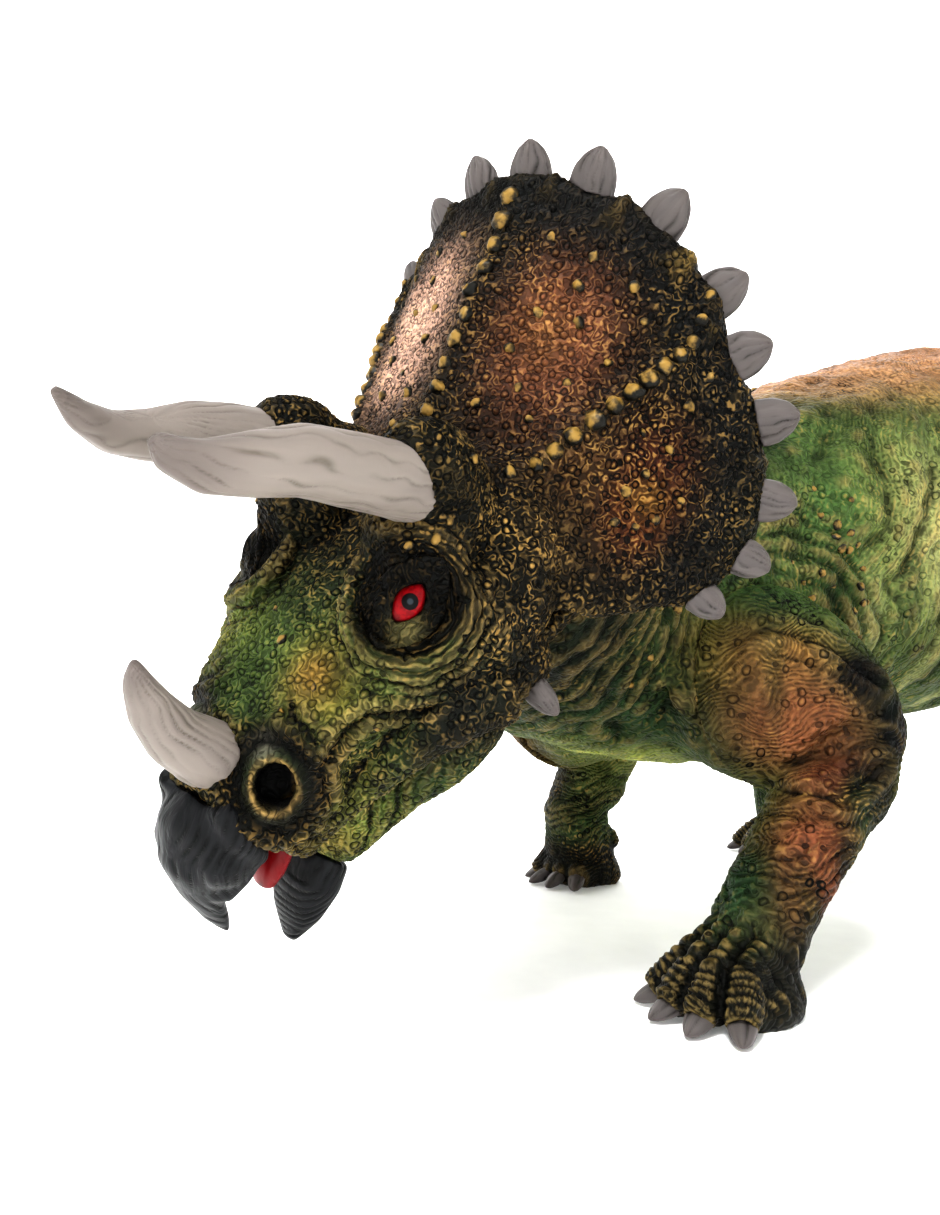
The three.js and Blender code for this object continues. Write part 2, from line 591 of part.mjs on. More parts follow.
function legShell(leg) {
  const gapSeat = leg.outward.clone().multiplyScalar(RUNNING_GAP);
  const inward = leg.outward.clone().negate();
  const dome = domeRings(gapSeat, leg.radius, leg.outward, leg.bulge);
  const limb = limbRings(leg);
  let outside = solid(skin(dome, ROUND_SIDES)).add(solid(skin(limb, LIMB_SIDES)));
  outside = outside.add(solid(skin(footRings(leg), LIMB_SIDES)));
  for (const degrees of TOE_SPREAD_DEG) outside = outside.add(toe(leg, degrees));
  let inside = solid(skin(insetRings(limb, WALL), SMALL_SIDES));
  const ground = Z_AXIS.clone().multiplyScalar(-leg.height);
  const down = Z_AXIS.clone().negate();
  outside = outside.subtract(beyond(gapSeat, inward)).subtract(beyond(ground, down));
  const innerFace = gapSeat.clone().addScaledVector(leg.outward, WALL);
  const sole = ground.clone().addScaledVector(Z_AXIS, WALL);
  inside = inside.subtract(beyond(innerFace, inward)).subtract(beyond(sole, down));
  let shell = outside.subtract(inside).add(plug(gapSeat, inward, leg.plugRadius));
  shell = shell.subtract(plugBore(gapSeat, inward, leg.plugRadius));
  for (const degrees of TOE_SPREAD_DEG) {
    const socket = claw(FIXED_GAP).applyMatrix4(clawMatrix(leg, degrees));
    shell = shell.subtract(solid(socket));
  }
  return shell;
}

for (const leg of LEGS) {
  const pivot = new THREE.Group();
  pivot.position.copy(legSeat(leg));
  const colour = leg.fore ? COLOURS.foreleg : COLOURS.hindleg;
  pivot.add(piece(`${leg.name}_shell`, geometryOf(legShell(leg)), colour));
  TOE_SPREAD_DEG.forEach((degrees, index) => {
    const mesh = piece(`${leg.name}_claw_${index + 1}`, claw(0), COLOURS.claw);
    mesh.applyMatrix4(clawMatrix(leg, degrees));
    pivot.add(mesh);
  });
  whole.add(pivot);
}

// The tail in the frame of its seat, with axes parallel to the trunk's.
function tailShell() {
  const gapSeat = tailWay.clone().multiplyScalar(RUNNING_GAP);
  const inward = tailWay.clone().negate();
  const path = TAIL_SHARES.map(([back, left, rise]) => point(
    -back * TAIL_LENGTH, left * TAIL_LENGTH, rise * TAIL_LENGTH));
  const radii = TAIL_SHARES.map((row) => row[3] * TAIL_LENGTH);
  const rings = pathRings([gapSeat, ...path], [TAIL_ROOT_RADIUS, ...radii], Y_AXIS);
  rings[0] = seatRing(gapSeat, inward, TAIL_ROOT_RADIUS, Y_AXIS);
  const inner = insetRings(rings, WALL).slice(0, -1);
  const shell = solid(skin(rings, LIMB_SIDES)).subtract(solid(skin(inner, LIMB_SIDES)));
  return shell.add(plug(gapSeat, inward, TAIL_PLUG_RADIUS))
    .subtract(plugBore(gapSeat, inward, TAIL_PLUG_RADIUS));
}

const tailPivot = new THREE.Group();
tailPivot.position.copy(tailSeat);
tailPivot.add(piece('tail_shell', geometryOf(tailShell()), COLOURS.tail));
whole.add(tailPivot);

// The frill is its outline cut from a sheet that curves back round the neck.
const FRILL_MARGIN_SHARE = 1.1;
const frillHeight = (share) => -FRILL_SAG * share * share;

function frillSolid() {
  const left = FRILL_SHARES.map(([down, out]) => new THREE.Vector2(
    down * FRILL_RISE, out * FRILL_HALF_WIDTH));
  const rim = new THREE.SplineCurve(left).getPoints(RIM_STEPS);
  const right = rim.slice(1).reverse().map(({ x, y }) => new THREE.Vector2(x, -y));
  const outline = new THREE.Shape([...rim, ...right]);
  const cutter = new THREE.ExtrudeGeometry(outline, { depth: 2 * OVERRUN, bevelEnabled: false });
  cutter.translate(0, 0, -OVERRUN);
  const across = Array.from(
    { length: 2 * FRILL_STEPS + 1 }, (_, step) => (step - FRILL_STEPS) / FRILL_STEPS);
  const front = across.map((share) => new THREE.Vector2(
    share * FRILL_HALF_WIDTH * FRILL_MARGIN_SHARE, frillHeight(share * FRILL_MARGIN_SHARE)));
  const rear = front.map(({ x, y }) => new THREE.Vector2(x, y - FRILL_THICKNESS)).reverse();
  const band = new THREE.Shape([...front, ...rear]);
  const sheet = new THREE.ExtrudeGeometry(band, { depth: 2 * OVERRUN, bevelEnabled: false });
  sheet.translate(0, 0, -OVERRUN);
  sheet.applyMatrix4(new THREE.Matrix4().makeBasis(Y_AXIS, Z_AXIS, X_AXIS));
  return solid(cutter).intersect(solid(sheet));
}

function spikeMatrix(index, side) {
  const [down, out] = FRILL_SHARES[index];
  const before = FRILL_SHARES[index - 1] ?? [FRILL_SHARES[1][0], -FRILL_SHARES[1][1]];
  const after = FRILL_SHARES[index + 1];
  const slope = (-2 * FRILL_SAG * out) / FRILL_HALF_WIDTH;
  const run = point(
    (after[0] - before[0]) * FRILL_RISE, (after[1] - before[1]) * FRILL_HALF_WIDTH, 0);
  run.z = run.y * slope;
  const face = point(0, -slope, 1).normalize();
  const outward = run.clone().cross(face).normalize();
  if (outward.x * down + outward.y * out < 0) outward.negate();
  const lean = radians(SPIKE_LEAN_DEG);
  const way = outward.multiplyScalar(Math.cos(lean)).addScaledVector(face, Math.sin(lean));
  const middle = frillHeight(out) - 0.5 * FRILL_THICKNESS;
  const origin = point(down * FRILL_RISE, out * FRILL_HALF_WIDTH, middle);
  for (const vector of [origin, way, run]) vector.y *= side;
  return seatMatrix(origin, way, way.clone().cross(run));
}

const spike = (size, grow = 0) => pointed(size * SPIKE_LENGTH, size * SPIKE_WIDTH, SPIKE_ROOT,
  SPIKE_SHARES, SPIKE_FLATNESS_SHARE, grow);

// The spikes in a row round the rim, from the right cheek over the crest to the left cheek.
function spikePlaces() {
  const places = [];
  SPIKE_SIZE_SHARES.forEach((size, index) => {
    places.push({ size, matrix: spikeMatrix(index, 1) });
    if (index > 0) places.unshift({ size, matrix: spikeMatrix(index, -1) });
  });
  return places;
}

const cheekSpike = (grow) => pointed(
  CHEEK_SPIKE_LENGTH, CHEEK_SPIKE_WIDTH, SPIKE_ROOT, SPIKE_SHARES, 1, grow);

function cheekSpikeMatrix(side) {
  const origin = scaled(CHEEK_SPIKE_SHARES.at, FACE_LENGTH);
  const way = point(...CHEEK_SPIKE_SHARES.facing);
  for (const vector of [origin, way]) vector.y *= side;
  return seatMatrix(origin, way, Z_AXIS);
}

function horn(shares, taper, radius, grow = 0) {
  const path = shares.map((row) => scaled(row, FACE_LENGTH));
  const start = path[0].clone().sub(path[1]).setLength(grow);
  path[0].add(start);
  return skin(pathRings(path, taper.map((share) => share * radius + grow), Y_AXIS), HORN_SIDES);
}

const HORNS = [
  ['left_brow_horn', LEFT_HORN_SHARES, BROW_HORN_TAPER_SHARES, BROW_HORN_RADIUS],
  ['right_brow_horn', RIGHT_HORN_SHARES, BROW_HORN_TAPER_SHARES, BROW_HORN_RADIUS],
  ['nose_horn', NOSE_HORN_SHARES, NOSE_HORN_TAPER_SHARES, NOSE_HORN_RADIUS],
];

const eye = (grow = 0) => new THREE.SphereGeometry(EYE_RADIUS + grow, HORN_SIDES, SMALL_SIDES);

function eyeMatrix(side) {
  const origin = scaled(EYE_SHARES, FACE_LENGTH);
  const way = point(...EYE_FACING_SHARES);
  origin.addScaledVector(way.clone().normalize(), -EYE_SINK_SHARE * EYE_RADIUS);
  for (const vector of [origin, way]) vector.y *= side;
  return seatMatrix(origin, way, X_AXIS);
}

const jawHinge = point(JAW_HINGE_SHARES[0], 0, JAW_HINGE_SHARES[1]).multiplyScalar(FACE_LENGTH);
const onHinge = (left) => jawHinge.clone().setY(left);
const neckSeatInHead = point(NECK_SEAT_DOWN_FACE, 0, -NECK_SEAT_DEPTH);

function headShell() {
  const rings = profileRings(SKULL_SHARES, FACE_LENGTH);
  let outside = solid(skin(rings, FACE_SIDES, FACE_SQUARENESS));
  for (const side of [1, -1]) {
    for (const form of [BROW_BOSS_SHARES, EYE_MOUND_SHARES, NOSTRIL_MOUND_SHARES,
      CHEEK_BOSS_SHARES]) {
      outside = outside.add(ellipsoid(form, FACE_LENGTH, side));
    }
  }
  outside = outside.add(ellipsoid(NOSE_BOSS_SHARES, FACE_LENGTH));
  const seat = neckSeatInHead.clone().addScaledVector(Z_AXIS, RUNNING_GAP);
  const collarTop = seat.clone().addScaledVector(Z_AXIS, 2 * WALL);
  outside = outside.add(bar(seat, collarTop, NECK_RADIUS)).add(frillSolid());
  const seamNormal = point(1, 0, 1).normalize();
  const seam = point(BEAK_SEAM_SHARE * FACE_LENGTH, 0, 0);
  outside = outside.subtract(beyond(seam, seamNormal));
  const inward = Z_AXIS.clone().negate();
  const neckEnd = seat.clone().addScaledVector(inward, OVERRUN);
  outside = outside.subtract(bar(seat, neckEnd, NECK_RADIUS + WALL));
  const cavity = insetRings(rings.slice(1, CAVITY_LAST_STATION), WALL);
  let inside = solid(skin(cavity, INSIDE_SIDES, FACE_SQUARENESS));
  inside = inside.subtract(beyond(seat.clone().addScaledVector(Z_AXIS, WALL), inward));
  const jawPocketRadius = JAW_BARREL_RADIUS + RUNNING_GAP;
  const pocketHalf = JAW_BARREL_HALF_LENGTH + RUNNING_GAP;
  inside = inside.subtract(bar(
    onHinge(-pocketHalf - WALL), onHinge(pocketHalf + WALL), jawPocketRadius + WALL));
  let shell = outside.subtract(inside);
  shell = shell.add(plug(seat, inward, NECK_PLUG_RADIUS));
  shell = shell.subtract(plugBore(seat, inward, NECK_PLUG_RADIUS));
  shell = shell.subtract(bar(onHinge(-pocketHalf), onHinge(pocketHalf), jawPocketRadius));
  shell = shell.subtract(jawPin(FIXED_GAP));
  shell = shell.subtract(ellipsoid(MOUTH_SHARES, FACE_LENGTH));
  for (const [, shares, taper, radius] of HORNS) {
    shell = shell.subtract(solid(horn(shares, taper, radius, FIXED_GAP)));
  }
  for (const { size, matrix } of spikePlaces()) {
    shell = shell.subtract(solid(spike(size, FIXED_GAP).applyMatrix4(matrix)));
  }
  for (const side of [1, -1]) {
    shell = shell.subtract(solid(eye(FIXED_GAP).applyMatrix4(eyeMatrix(side))));
    shell = shell.subtract(solid(cheekSpike(FIXED_GAP).applyMatrix4(cheekSpikeMatrix(side))));
    shell = shell.subtract(ellipsoid(NOSTRIL_SHARES, FACE_LENGTH, side, SMALL_SIDES));
  }
  return shell;
}

function jawPin(grow = 0) {
  const half = JAW_BARREL_HALF_LENGTH + 2 * WALL + grow;
  return bar(onHinge(-half), onHinge(half), JAW_PIN_RADIUS + grow, HORN_SIDES);
}

function tonguePeg(grow = 0) {
  const [along, up, down] = TONGUE_PEG_SHARES.map((share) => share * FACE_LENGTH);
  return bar(point(along, 0, up), point(along, 0, up - down - grow), TONGUE_PEG_RADIUS + grow,
    SMALL_SIDES);
}

function upperBeak() {
  const seam = point(BEAK_SEAM_SHARE * FACE_LENGTH + Math.SQRT2 * FIXED_GAP, 0, 0);
  const seamNormal = point(-1, 0, -1).normalize();
  const rings = profileRings(UPPER_BEAK_SHARES, FACE_LENGTH);
  return solid(skin(rings, LIMB_SIDES)).subtract(beyond(seam, seamNormal));
}

function lowerJaw() {
  const barrel = bar(
    onHinge(-JAW_BARREL_HALF_LENGTH), onHinge(JAW_BARREL_HALF_LENGTH), JAW_BARREL_RADIUS);
  const rings = profileRings(JAW_SHARES, FACE_LENGTH);
  const skullRings = profileRings(SKULL_SHARES, FACE_LENGTH, RUNNING_GAP);
  const skull = solid(skin(skullRings, FACE_SIDES, FACE_SQUARENESS));
  return solid(skin(rings, LIMB_SIDES, JAW_SQUARENESS)).subtract(skull).add(barrel)
    .subtract(jawPin(RUNNING_GAP))
    .subtract(tonguePeg(FIXED_GAP));
}

function lowerBeak() {
  const rings = profileRings(LOWER_BEAK_SHARES, FACE_LENGTH);
  rings[0].centre.x += FIXED_GAP;
  return solid(skin(rings, LIMB_SIDES, JAW_SQUARENESS));
}

function tongue() {
  return solid(skin(profileRings(TONGUE_SHARES, FACE_LENGTH), HORN_SIDES)).add(tonguePeg());
}

head.add(piece('head_shell', geometryOf(headShell()), COLOURS.head));
head.add(piece('upper_beak', geometryOf(upperBeak()), COLOURS.beak));
head.add(piece('lower_jaw', geometryOf(lowerJaw()), COLOURS.jaw));
head.add(piece('lower_beak', geometryOf(lowerBeak()), COLOURS.beak));
head.add(piece('tongue', geometryOf(tongue()), COLOURS.tongue, GLOSS_ROUGHNESS));
head.add(piece('jaw_pin', geometryOf(jawPin()), COLOURS.pin, GLOSS_ROUGHNESS));
for (const [name, shares, taper, radius] of HORNS) {
  head.add(piece(name, horn(shares, taper, radius), COLOURS.horn));
}
spikePlaces().forEach(({ size, matrix }, index) => {
  const number = String(index + 1).padStart(2, '0');
  const mesh = piece(`frill_spike_${number}`, spike(size), COLOURS.horn);
  mesh.applyMatrix4(matrix);
  head.add(mesh);
});
for (const [side, word] of [[1, 'left'], [-1, 'right']]) {
  const lens = piece(`${word}_eye`, eye(), COLOURS.eye, GLOSS_ROUGHNESS);
  lens.applyMatrix4(eyeMatrix(side));
  const jugal = piece(`${word}_cheek_spike`, cheekSpike(0), COLOURS.horn);
  jugal.applyMatrix4(cheekSpikeMatrix(side));
  head.add(lens, jugal);
}

// The frame's origin is on the ground, under the middle of the figure's box.
const figure = new THREE.Group();
figure.add(whole);
figure.updateMatrixWorld(true);
const box = new THREE.Box3().setFromObject(figure, true);
whole.position.set(-0.5 * (box.min.x + box.max.x), -0.5 * (box.min.y + box.max.y), -box.min.z);

export default figure;
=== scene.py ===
"""Dresses a large soft vinyl horned dinosaur: sculpted skins, airbrushed paint, horns, claws and eyes."""

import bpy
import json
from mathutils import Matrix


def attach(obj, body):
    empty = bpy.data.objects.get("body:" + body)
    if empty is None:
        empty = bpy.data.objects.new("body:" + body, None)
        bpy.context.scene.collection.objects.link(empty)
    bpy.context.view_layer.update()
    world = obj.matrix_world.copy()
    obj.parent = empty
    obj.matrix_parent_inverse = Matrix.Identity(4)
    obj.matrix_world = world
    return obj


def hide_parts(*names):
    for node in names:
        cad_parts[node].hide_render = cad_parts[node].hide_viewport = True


bl_info = {
    "name": "Toy horned dinosaur looks",
    "version": (1, 0, 0),
    "blender": (4, 5, 0),
    "location": "3D View > Sidebar > Dinosaur",
    "description": "Sculpts and paints the skins of a packed toy dinosaur",
    "category": "Object",
}

import json
import math

import bmesh
import bpy
import numpy as np
from bpy.props import FloatProperty, FloatVectorProperty, IntProperty, PointerProperty
from mathutils import Vector
from mathutils.bvhtree import BVHTree

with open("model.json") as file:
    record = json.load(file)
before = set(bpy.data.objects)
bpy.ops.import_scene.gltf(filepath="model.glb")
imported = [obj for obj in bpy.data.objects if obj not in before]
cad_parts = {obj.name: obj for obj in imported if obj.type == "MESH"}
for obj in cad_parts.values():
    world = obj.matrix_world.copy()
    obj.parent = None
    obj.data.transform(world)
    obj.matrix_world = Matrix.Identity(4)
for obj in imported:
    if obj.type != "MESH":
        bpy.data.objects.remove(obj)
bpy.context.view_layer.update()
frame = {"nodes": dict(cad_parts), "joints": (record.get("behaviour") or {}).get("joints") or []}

MM = 0.001
SEED = 7

JOINTS = {joint["name"]: joint for joint in frame["joints"]}


def joint_point(name):
    """The joint's place, in millimetres."""
    return np.array(JOINTS[name]["pos_m"]) / MM


def unit(way):
    """The way at a length of one."""
    return way / np.linalg.norm(way)


def joint_axis(name):
    return unit(np.array(JOINTS[name]["axis"], float))


class Space:
    """A set of axes that a body is sculpted in, in millimetres."""

    def __init__(self, origin, axes):
        self.origin = np.array(origin, float)
        self.axes = np.array(axes, float)

    def inward(self, points):
        return (points - self.origin) @ self.axes.T

    def outward(self, points):
        return np.array(points, float) @ self.axes + self.origin

    def turn(self, ways):
        return np.array(ways, float) @ self.axes


# The head's own axes: down the face, to its left, and out of the brow.
NECK_SEAT_DOWN_FACE = 8.6
NECK_SEAT_DEPTH = 30.0
head_left = joint_axis("jaw_hinge")
head_out = joint_axis("neck_swivel")
head_down = np.cross(head_left, head_out)
head_origin = joint_point("neck_swivel") - NECK_SEAT_DOWN_FACE * head_down + NECK_SEAT_DEPTH * head_out
HEAD = Space(head_origin, [head_down, head_left, head_out])
WORLD = Space([0, 0, 0], np.eye(3))

LEG_JOINTS = {
    "left_foreleg": "left_shoulder_swivel", "right_foreleg": "right_shoulder_swivel",
    "left_hindleg": "left_hip_swivel", "right_hindleg": "right_hip_swivel",
}
CLAW_NUMBERS = (1, 2, 3, 4)
HORNS = ["left_brow_horn", "right_brow_horn", "nose_horn"]
SPIKES = sorted(name for name in frame["nodes"] if name.startswith("frill_spike_"))
CHEEK_SPIKES = ["left_cheek_spike", "right_cheek_spike"]
# The finished head and trunk as search trees, which nodules and lids are laid on.
SURFACES = {}


def linear(hex_colour):
    """A colour written as sRGB hex, turned to the linear one that the shader takes."""
    values = [int(hex_colour[i:i + 2], 16) / 255 for i in (1, 3, 5)]
    return [v / 12.92 if v <= 0.04045 else ((v + 0.055) / 1.055) ** 2.4 for v in values]


def colour_property(name, hex_colour, description):
    return FloatVectorProperty(
        name=name, description=description, subtype="COLOR", size=3, min=0, max=1,
        default=linear(hex_colour))


def length_property(name, millimetres, description):
    return FloatProperty(
        name=name, description=description, subtype="DISTANCE", unit="LENGTH",
        default=millimetres * MM)


class DINO_PG_paint(bpy.types.PropertyGroup):
    wash: colour_property("Wash", "#070806", "Dark wash that settles in the grooves")
    gold: colour_property("Dry brush", "#aa8a50", "Gold dragged over the high points")
    horn: colour_property("Horn grey", "#857d77", "Warm grey of the three horns")
    spike: colour_property("Spike grey", "#565150", "Darker warm grey of the spikes and claws")
    beak: colour_property("Beak", "#0e0f10", "Charcoal of both beaks")
    tongue: colour_property("Tongue", "#720a11", "Red of the tongue")
    iris: colour_property("Iris", "#860812", "Red of the eyes")


class DINO_PG_sizes(bpy.types.PropertyGroup):
    head_voxel: length_property("Head grid", 0.66, "Grid that the head is sculpted on")
    trunk_voxel: length_property("Trunk grid", 1.35, "Grid that the trunk is sculpted on")
    limb_voxel: length_property("Limb grid", 0.8, "Grid that the legs and the tail are sculpted on")
    horn_voxel: length_property("Horn grid", 0.5, "Grid that the horns and beaks are sculpted on")
    head_pebble: length_property("Head pebble", 2.3, "Spacing of the pebbles on the head")
    trunk_pebble: length_property("Trunk pebble", 3.4, "Spacing of the pebbles on the trunk")
    limb_pebble: length_property("Limb pebble", 3.2, "Spacing of the pebbles on the legs")
    piece_triangles: IntProperty(
        name="Triangles", description="Most triangles that one skin may have",
        default=190000, min=1000)


class DINO_PG_stage(bpy.types.PropertyGroup):
    lens: FloatProperty(
        name="Lens", description="Focal length of the camera", subtype="DISTANCE_CAMERA",
        default=23.7, min=1)


def paint():
    return bpy.context.scene.dino_paint


def sizes():
    return bpy.context.scene.dino_sizes


def millimetres(name):
    return getattr(sizes(), name) / MM


# Closed forms that are pressed together before a skin is drawn over them.

WELD_DISTANCE = 0.001


def node_form(name, cuts=()):
    """The node's solid, with each cut's cylinder taken off it."""
    mesh = frame["nodes"][name].data.copy()
    work = bmesh.new()
    work.from_mesh(mesh)
    bmesh.ops.remove_doubles(work, verts=work.verts, dist=WELD_DISTANCE * MM)
    work.to_mesh(mesh)
    work.free()
    if cuts:
        mesh = cut_from(mesh, cuts)
    return mesh_form(mesh)


def rows(items, key, width, kind=float):
    """One value of every item of a mesh, such as its place or its corners, as a row of numbers."""
    values = np.empty(len(items) * width, kind)
    items.foreach_get(key, values)
    return values.reshape(-1, width)


def mesh_form(mesh):
    return rows(mesh.vertices, "co", 3) / MM, [tuple(face.vertices) for face in mesh.polygons]


def form_mesh(name, form):
    mesh = bpy.data.meshes.new(name)
    points, faces = form
    mesh.from_pydata((np.array(points) * MM).tolist(), [], faces)
    return mesh


def cut_from(mesh, cuts):
    """The mesh with each cut's solid taken off it."""
    target = placed("cut target", mesh)
    cutter = placed("cutter", form_mesh("cutter", joined(cuts)))
    cut = target.modifiers.new("Cut", "BOOLEAN")
    cut.solver = "MANIFOLD"
    cut.operation = "DIFFERENCE"
    cut.object = cutter
    result = baked(target)
    bpy.data.objects.remove(cutter)
    return result


def placed(name, data):
    """A new object that holds the data, linked to the scene."""
    item = bpy.data.objects.new(name, data)
    bpy.context.scene.collection.objects.link(item)
    return item


def baked(item):
    """The mesh that the object's modifiers give, as plain data. The object itself goes."""
    graph = bpy.context.evaluated_depsgraph_get()
    mesh = bpy.data.meshes.new_from_object(item.evaluated_get(graph), depsgraph=graph)
    bpy.data.objects.remove(item)
    return mesh


def joined(forms):
    points, faces, start = [], [], 0
    for form_points, form_faces in forms:
        points.append(np.array(form_points, float))
        faces += [tuple(index + start for index in face) for face in form_faces]
        start += len(form_points)
    return np.concatenate(points), faces


def side_ways(along):
    """Two unit ways square to one, and to each other."""
    along = unit(np.array(along, float))
    start = np.array([0.0, 0, 1]) if abs(along[2]) < 0.9 else np.array([1.0, 0, 0])
    first = unit(np.cross(along, start))
    return first, np.cross(along, first)


TUBE_SIDES = 14


def tube(path, radii, sides=TUBE_SIDES):
    """A closed tube through the points, with its own radius at each."""
    path = np.array(path, float)
    radii = np.broadcast_to(radii, len(path))
    ways = np.gradient(path, axis=0)
    points, faces = [], []
    first, second = side_ways(ways[0])
    for place, way, radius in zip(path, ways, radii):
        way = unit(way)
        first = unit(first - way * (first @ way))
        second = np.cross(way, first)
        for step in range(sides):
            angle = 2 * math.pi * step / sides
            points.append(place + radius * (math.cos(angle) * first + math.sin(angle) * second))
    for row in range(len(path) - 1):
        for step in range(sides):
            after = (step + 1) % sides
            here, beyond = row * sides, (row + 1) * sides
            faces.append((here + step, here + after, beyond + after, beyond + step))
    faces.append(tuple(range(sides))[::-1])
    faces.append(tuple(range((len(path) - 1) * sides, len(path) * sides)))
    return np.array(points), faces


def ball(centre, radii, axes=None, rings=10):
    """An ellipsoid with its half sizes along the given axes."""
    work = bmesh.new()
    bmesh.ops.create_uvsphere(work, u_segments=2 * rings, v_segments=rings, radius=1)
    points = np.array([vert.co[:] for vert in work.verts])
    faces = [tuple(vert.index for vert in face.verts) for face in work.faces]
    work.free()
    axes = np.eye(3) if axes is None else np.array(axes)
    return (points * np.broadcast_to(radii, 3)) @ axes + np.array(centre), faces


def disc(centre, way, radius, thick):
    """A round plate from the centre along the way."""
    way = unit(np.array(way))
    return tube([centre, np.array(centre) + thick * way], radius, 2 * TUBE_SIDES)


# Fields: how strongly a place feels a spot, a line or a broad ripple.

def near(points, centre, radii):
    """One at the centre, and fading smoothly over the radii."""
    away = (points - np.array(centre, float)) / np.broadcast_to(radii, 3)
    return np.exp(-(away ** 2).sum(1))


def line_reach(points, line):
    """The distance to a line through the given points, and how far along it that is, from 0 to 1."""
    line = np.array(line, float)
    best = np.full(len(points), 1e9)
    share = np.zeros(len(points))
    for index, (start, end) in enumerate(zip(line[:-1], line[1:])):
        way = end - start
        along = np.clip((points - start) @ way / (way @ way), 0, 1)
        away = np.linalg.norm(points - start - along[:, None] * way, axis=1)
        closer = away < best
        best[closer] = away[closer]
        share[closer] = (index + along[closer]) / (len(line) - 1)
    return best, share


def hump(distance, middle, width):
    return np.exp(-((distance - middle) / width) ** 2)


def step_up(value, low, high):
    """A smooth step from 0 at the low value to 1 at the high one."""
    share = np.clip((value - low) / (high - low), 0, 1)
    return share * share * (3 - 2 * share)


def step_down(value, low, high):
    """A smooth step from 1 at the low value to 0 at the high one."""
    return step_up(-value, -high, -low)


RIPPLE_WAVES = 9


def ripple(points, size, seed):
    """A broad uneven field from about -1 to 1, with swells of the given size."""
    chance = np.random.default_rng(SEED + seed)
    total = np.zeros(len(points))
    for _ in range(RIPPLE_WAVES):
        way = chance.normal(size=3)
        way *= 2 * math.pi / size * chance.uniform(0.6, 1.5) / np.linalg.norm(way)
        total += np.sin(points @ way + chance.uniform(0, 2 * math.pi))
    return total / math.sqrt(RIPPLE_WAVES)


def folds(level, spacing):
    """Rounded folds with a narrow crease at each spacing, from -1 in a crease to 0.5 on a fold."""
    return 0.5 - 1.5 * np.abs(np.cos(math.pi * level / spacing)) ** 6


class Skin:
    """A closed skin drawn over forms, which is then pushed and painted, in millimetres."""

    def __init__(self, name, forms, voxel, space=WORLD):
        self.name = name
        self.space = space
        item = placed(name, form_mesh(name, joined(forms)))
        remesh = item.modifiers.new("Skin", "REMESH")
        remesh.mode = "VOXEL"
        remesh.voxel_size = voxel * MM
        self.keep_outer(baked(item))

    def keep_outer(self, mesh):
        """Leaves out the loose parts, such as a hollow's inner wall."""
        quads = rows(mesh.loops, "vertex_index", 1, np.int32).reshape(-1, 4)
        label = np.arange(len(mesh.vertices))
        while True:
            lowest = label[quads].min(1)
            new = label.copy()
            for corner in range(4):
                np.minimum.at(new, quads[:, corner], lowest)
            new = new[new]
            if (new == label).all():
                break
            label = new
        kept = label == np.bincount(label).argmax()
        order = np.cumsum(kept) - 1
        quads = order[quads[kept[quads[:, 0]]]]
        self.mesh = bpy.data.meshes.new(self.name)
        points = rows(mesh.vertices, "co", 3)[kept]
        self.mesh.vertices.add(len(points))
        self.mesh.loops.add(quads.size)
        self.mesh.polygons.add(len(quads))
        self.mesh.loops.foreach_set("vertex_index", quads.ravel())
        self.mesh.polygons.foreach_set("loop_start", np.arange(0, quads.size, 4))
        self.mesh.vertices.foreach_set("co", points.ravel())
        self.mesh.update(calc_edges=True)
        self.world = points / MM
        self.edges = rows(self.mesh.edges, "vertices", 2, np.int32)

    @property
    def places(self):
        """Every point, in the skin's own space."""
        return self.space.inward(self.world)

    def relax(self, rounds, share=1.0):
        """Evens out facets: each point goes part of the way to the middle of its neighbours."""
        first, second = self.edges.T
        count = len(self.world)
        degree = np.bincount(first, minlength=count) + np.bincount(second, minlength=count)
        pull = (0.5 * np.broadcast_to(share, count) / degree)[:, None]
        for _ in range(rounds):
            total = np.stack([
                np.bincount(first, self.world[second, axis], count)
                + np.bincount(second, self.world[first, axis], count)
                for axis in range(3)], 1)
            self.world += pull * (total - degree[:, None] * self.world)

    def normals(self):
        self.mesh.vertices.foreach_set("co", (self.world * MM).ravel())
        self.mesh.update()
        return rows(self.mesh.vertices, "normal", 3)

    def push(self, amount):
        """Moves the points out along their normals, or in where the amount is negative."""
        self.world += self.normals() * np.asarray(amount)[:, None]

    def crests(self, rounds):
        """How far each point stands above its relaxed surroundings: below zero in a crease."""
        before = self.world.copy()
        ways = self.normals()
        self.relax(rounds)
        above = ((before - self.world) * ways).sum(1)
        self.world = before
        return above


def store(mesh, name, values):
    """Keeps a number, vector or colour for each point."""
    values = np.asarray(values, np.float32)
    kind, field = {1: ("FLOAT", "value"), 3: ("FLOAT_VECTOR", "vector"), 4: ("FLOAT_COLOR", "color")}[
        1 if values.ndim == 1 else values.shape[1]]
    attribute = mesh.attributes.new(name, kind, "POINT")
    attribute.data.foreach_set(field, values.ravel())


def spotted(places, base, spot_list):
    """Colour in soft spots: a base, then soft spots of (colour, centre, radii, strength) over it. Most are
    airbrushed paint; some on the hide are painted light and shade.
    """
    colour = np.tile(linear(base), (len(places), 1))
    for spot, centre, radii, strength in spot_list:
        share = strength * np.minimum(1, 1.35 * near(places, centre, radii))[:, None]
        colour = colour * (1 - share) + np.array(linear(spot)) * share
    return colour


def folded(places):
    """The places of the right half laid on those of the left one."""
    first, side, last = places.T
    return np.stack([first, np.abs(side), last], 1)


def tinted(colour, *coats):
    """Lays each coat over the colour in turn: its sRGB hex, and its share at each place."""
    for hex_colour, share in coats:
        share = np.clip(share, 0, 1)[:, None]
        colour = colour * (1 - share) + np.array(linear(hex_colour)) * share
    return colour


# Node trees, for the relief of the skins and for their finish.

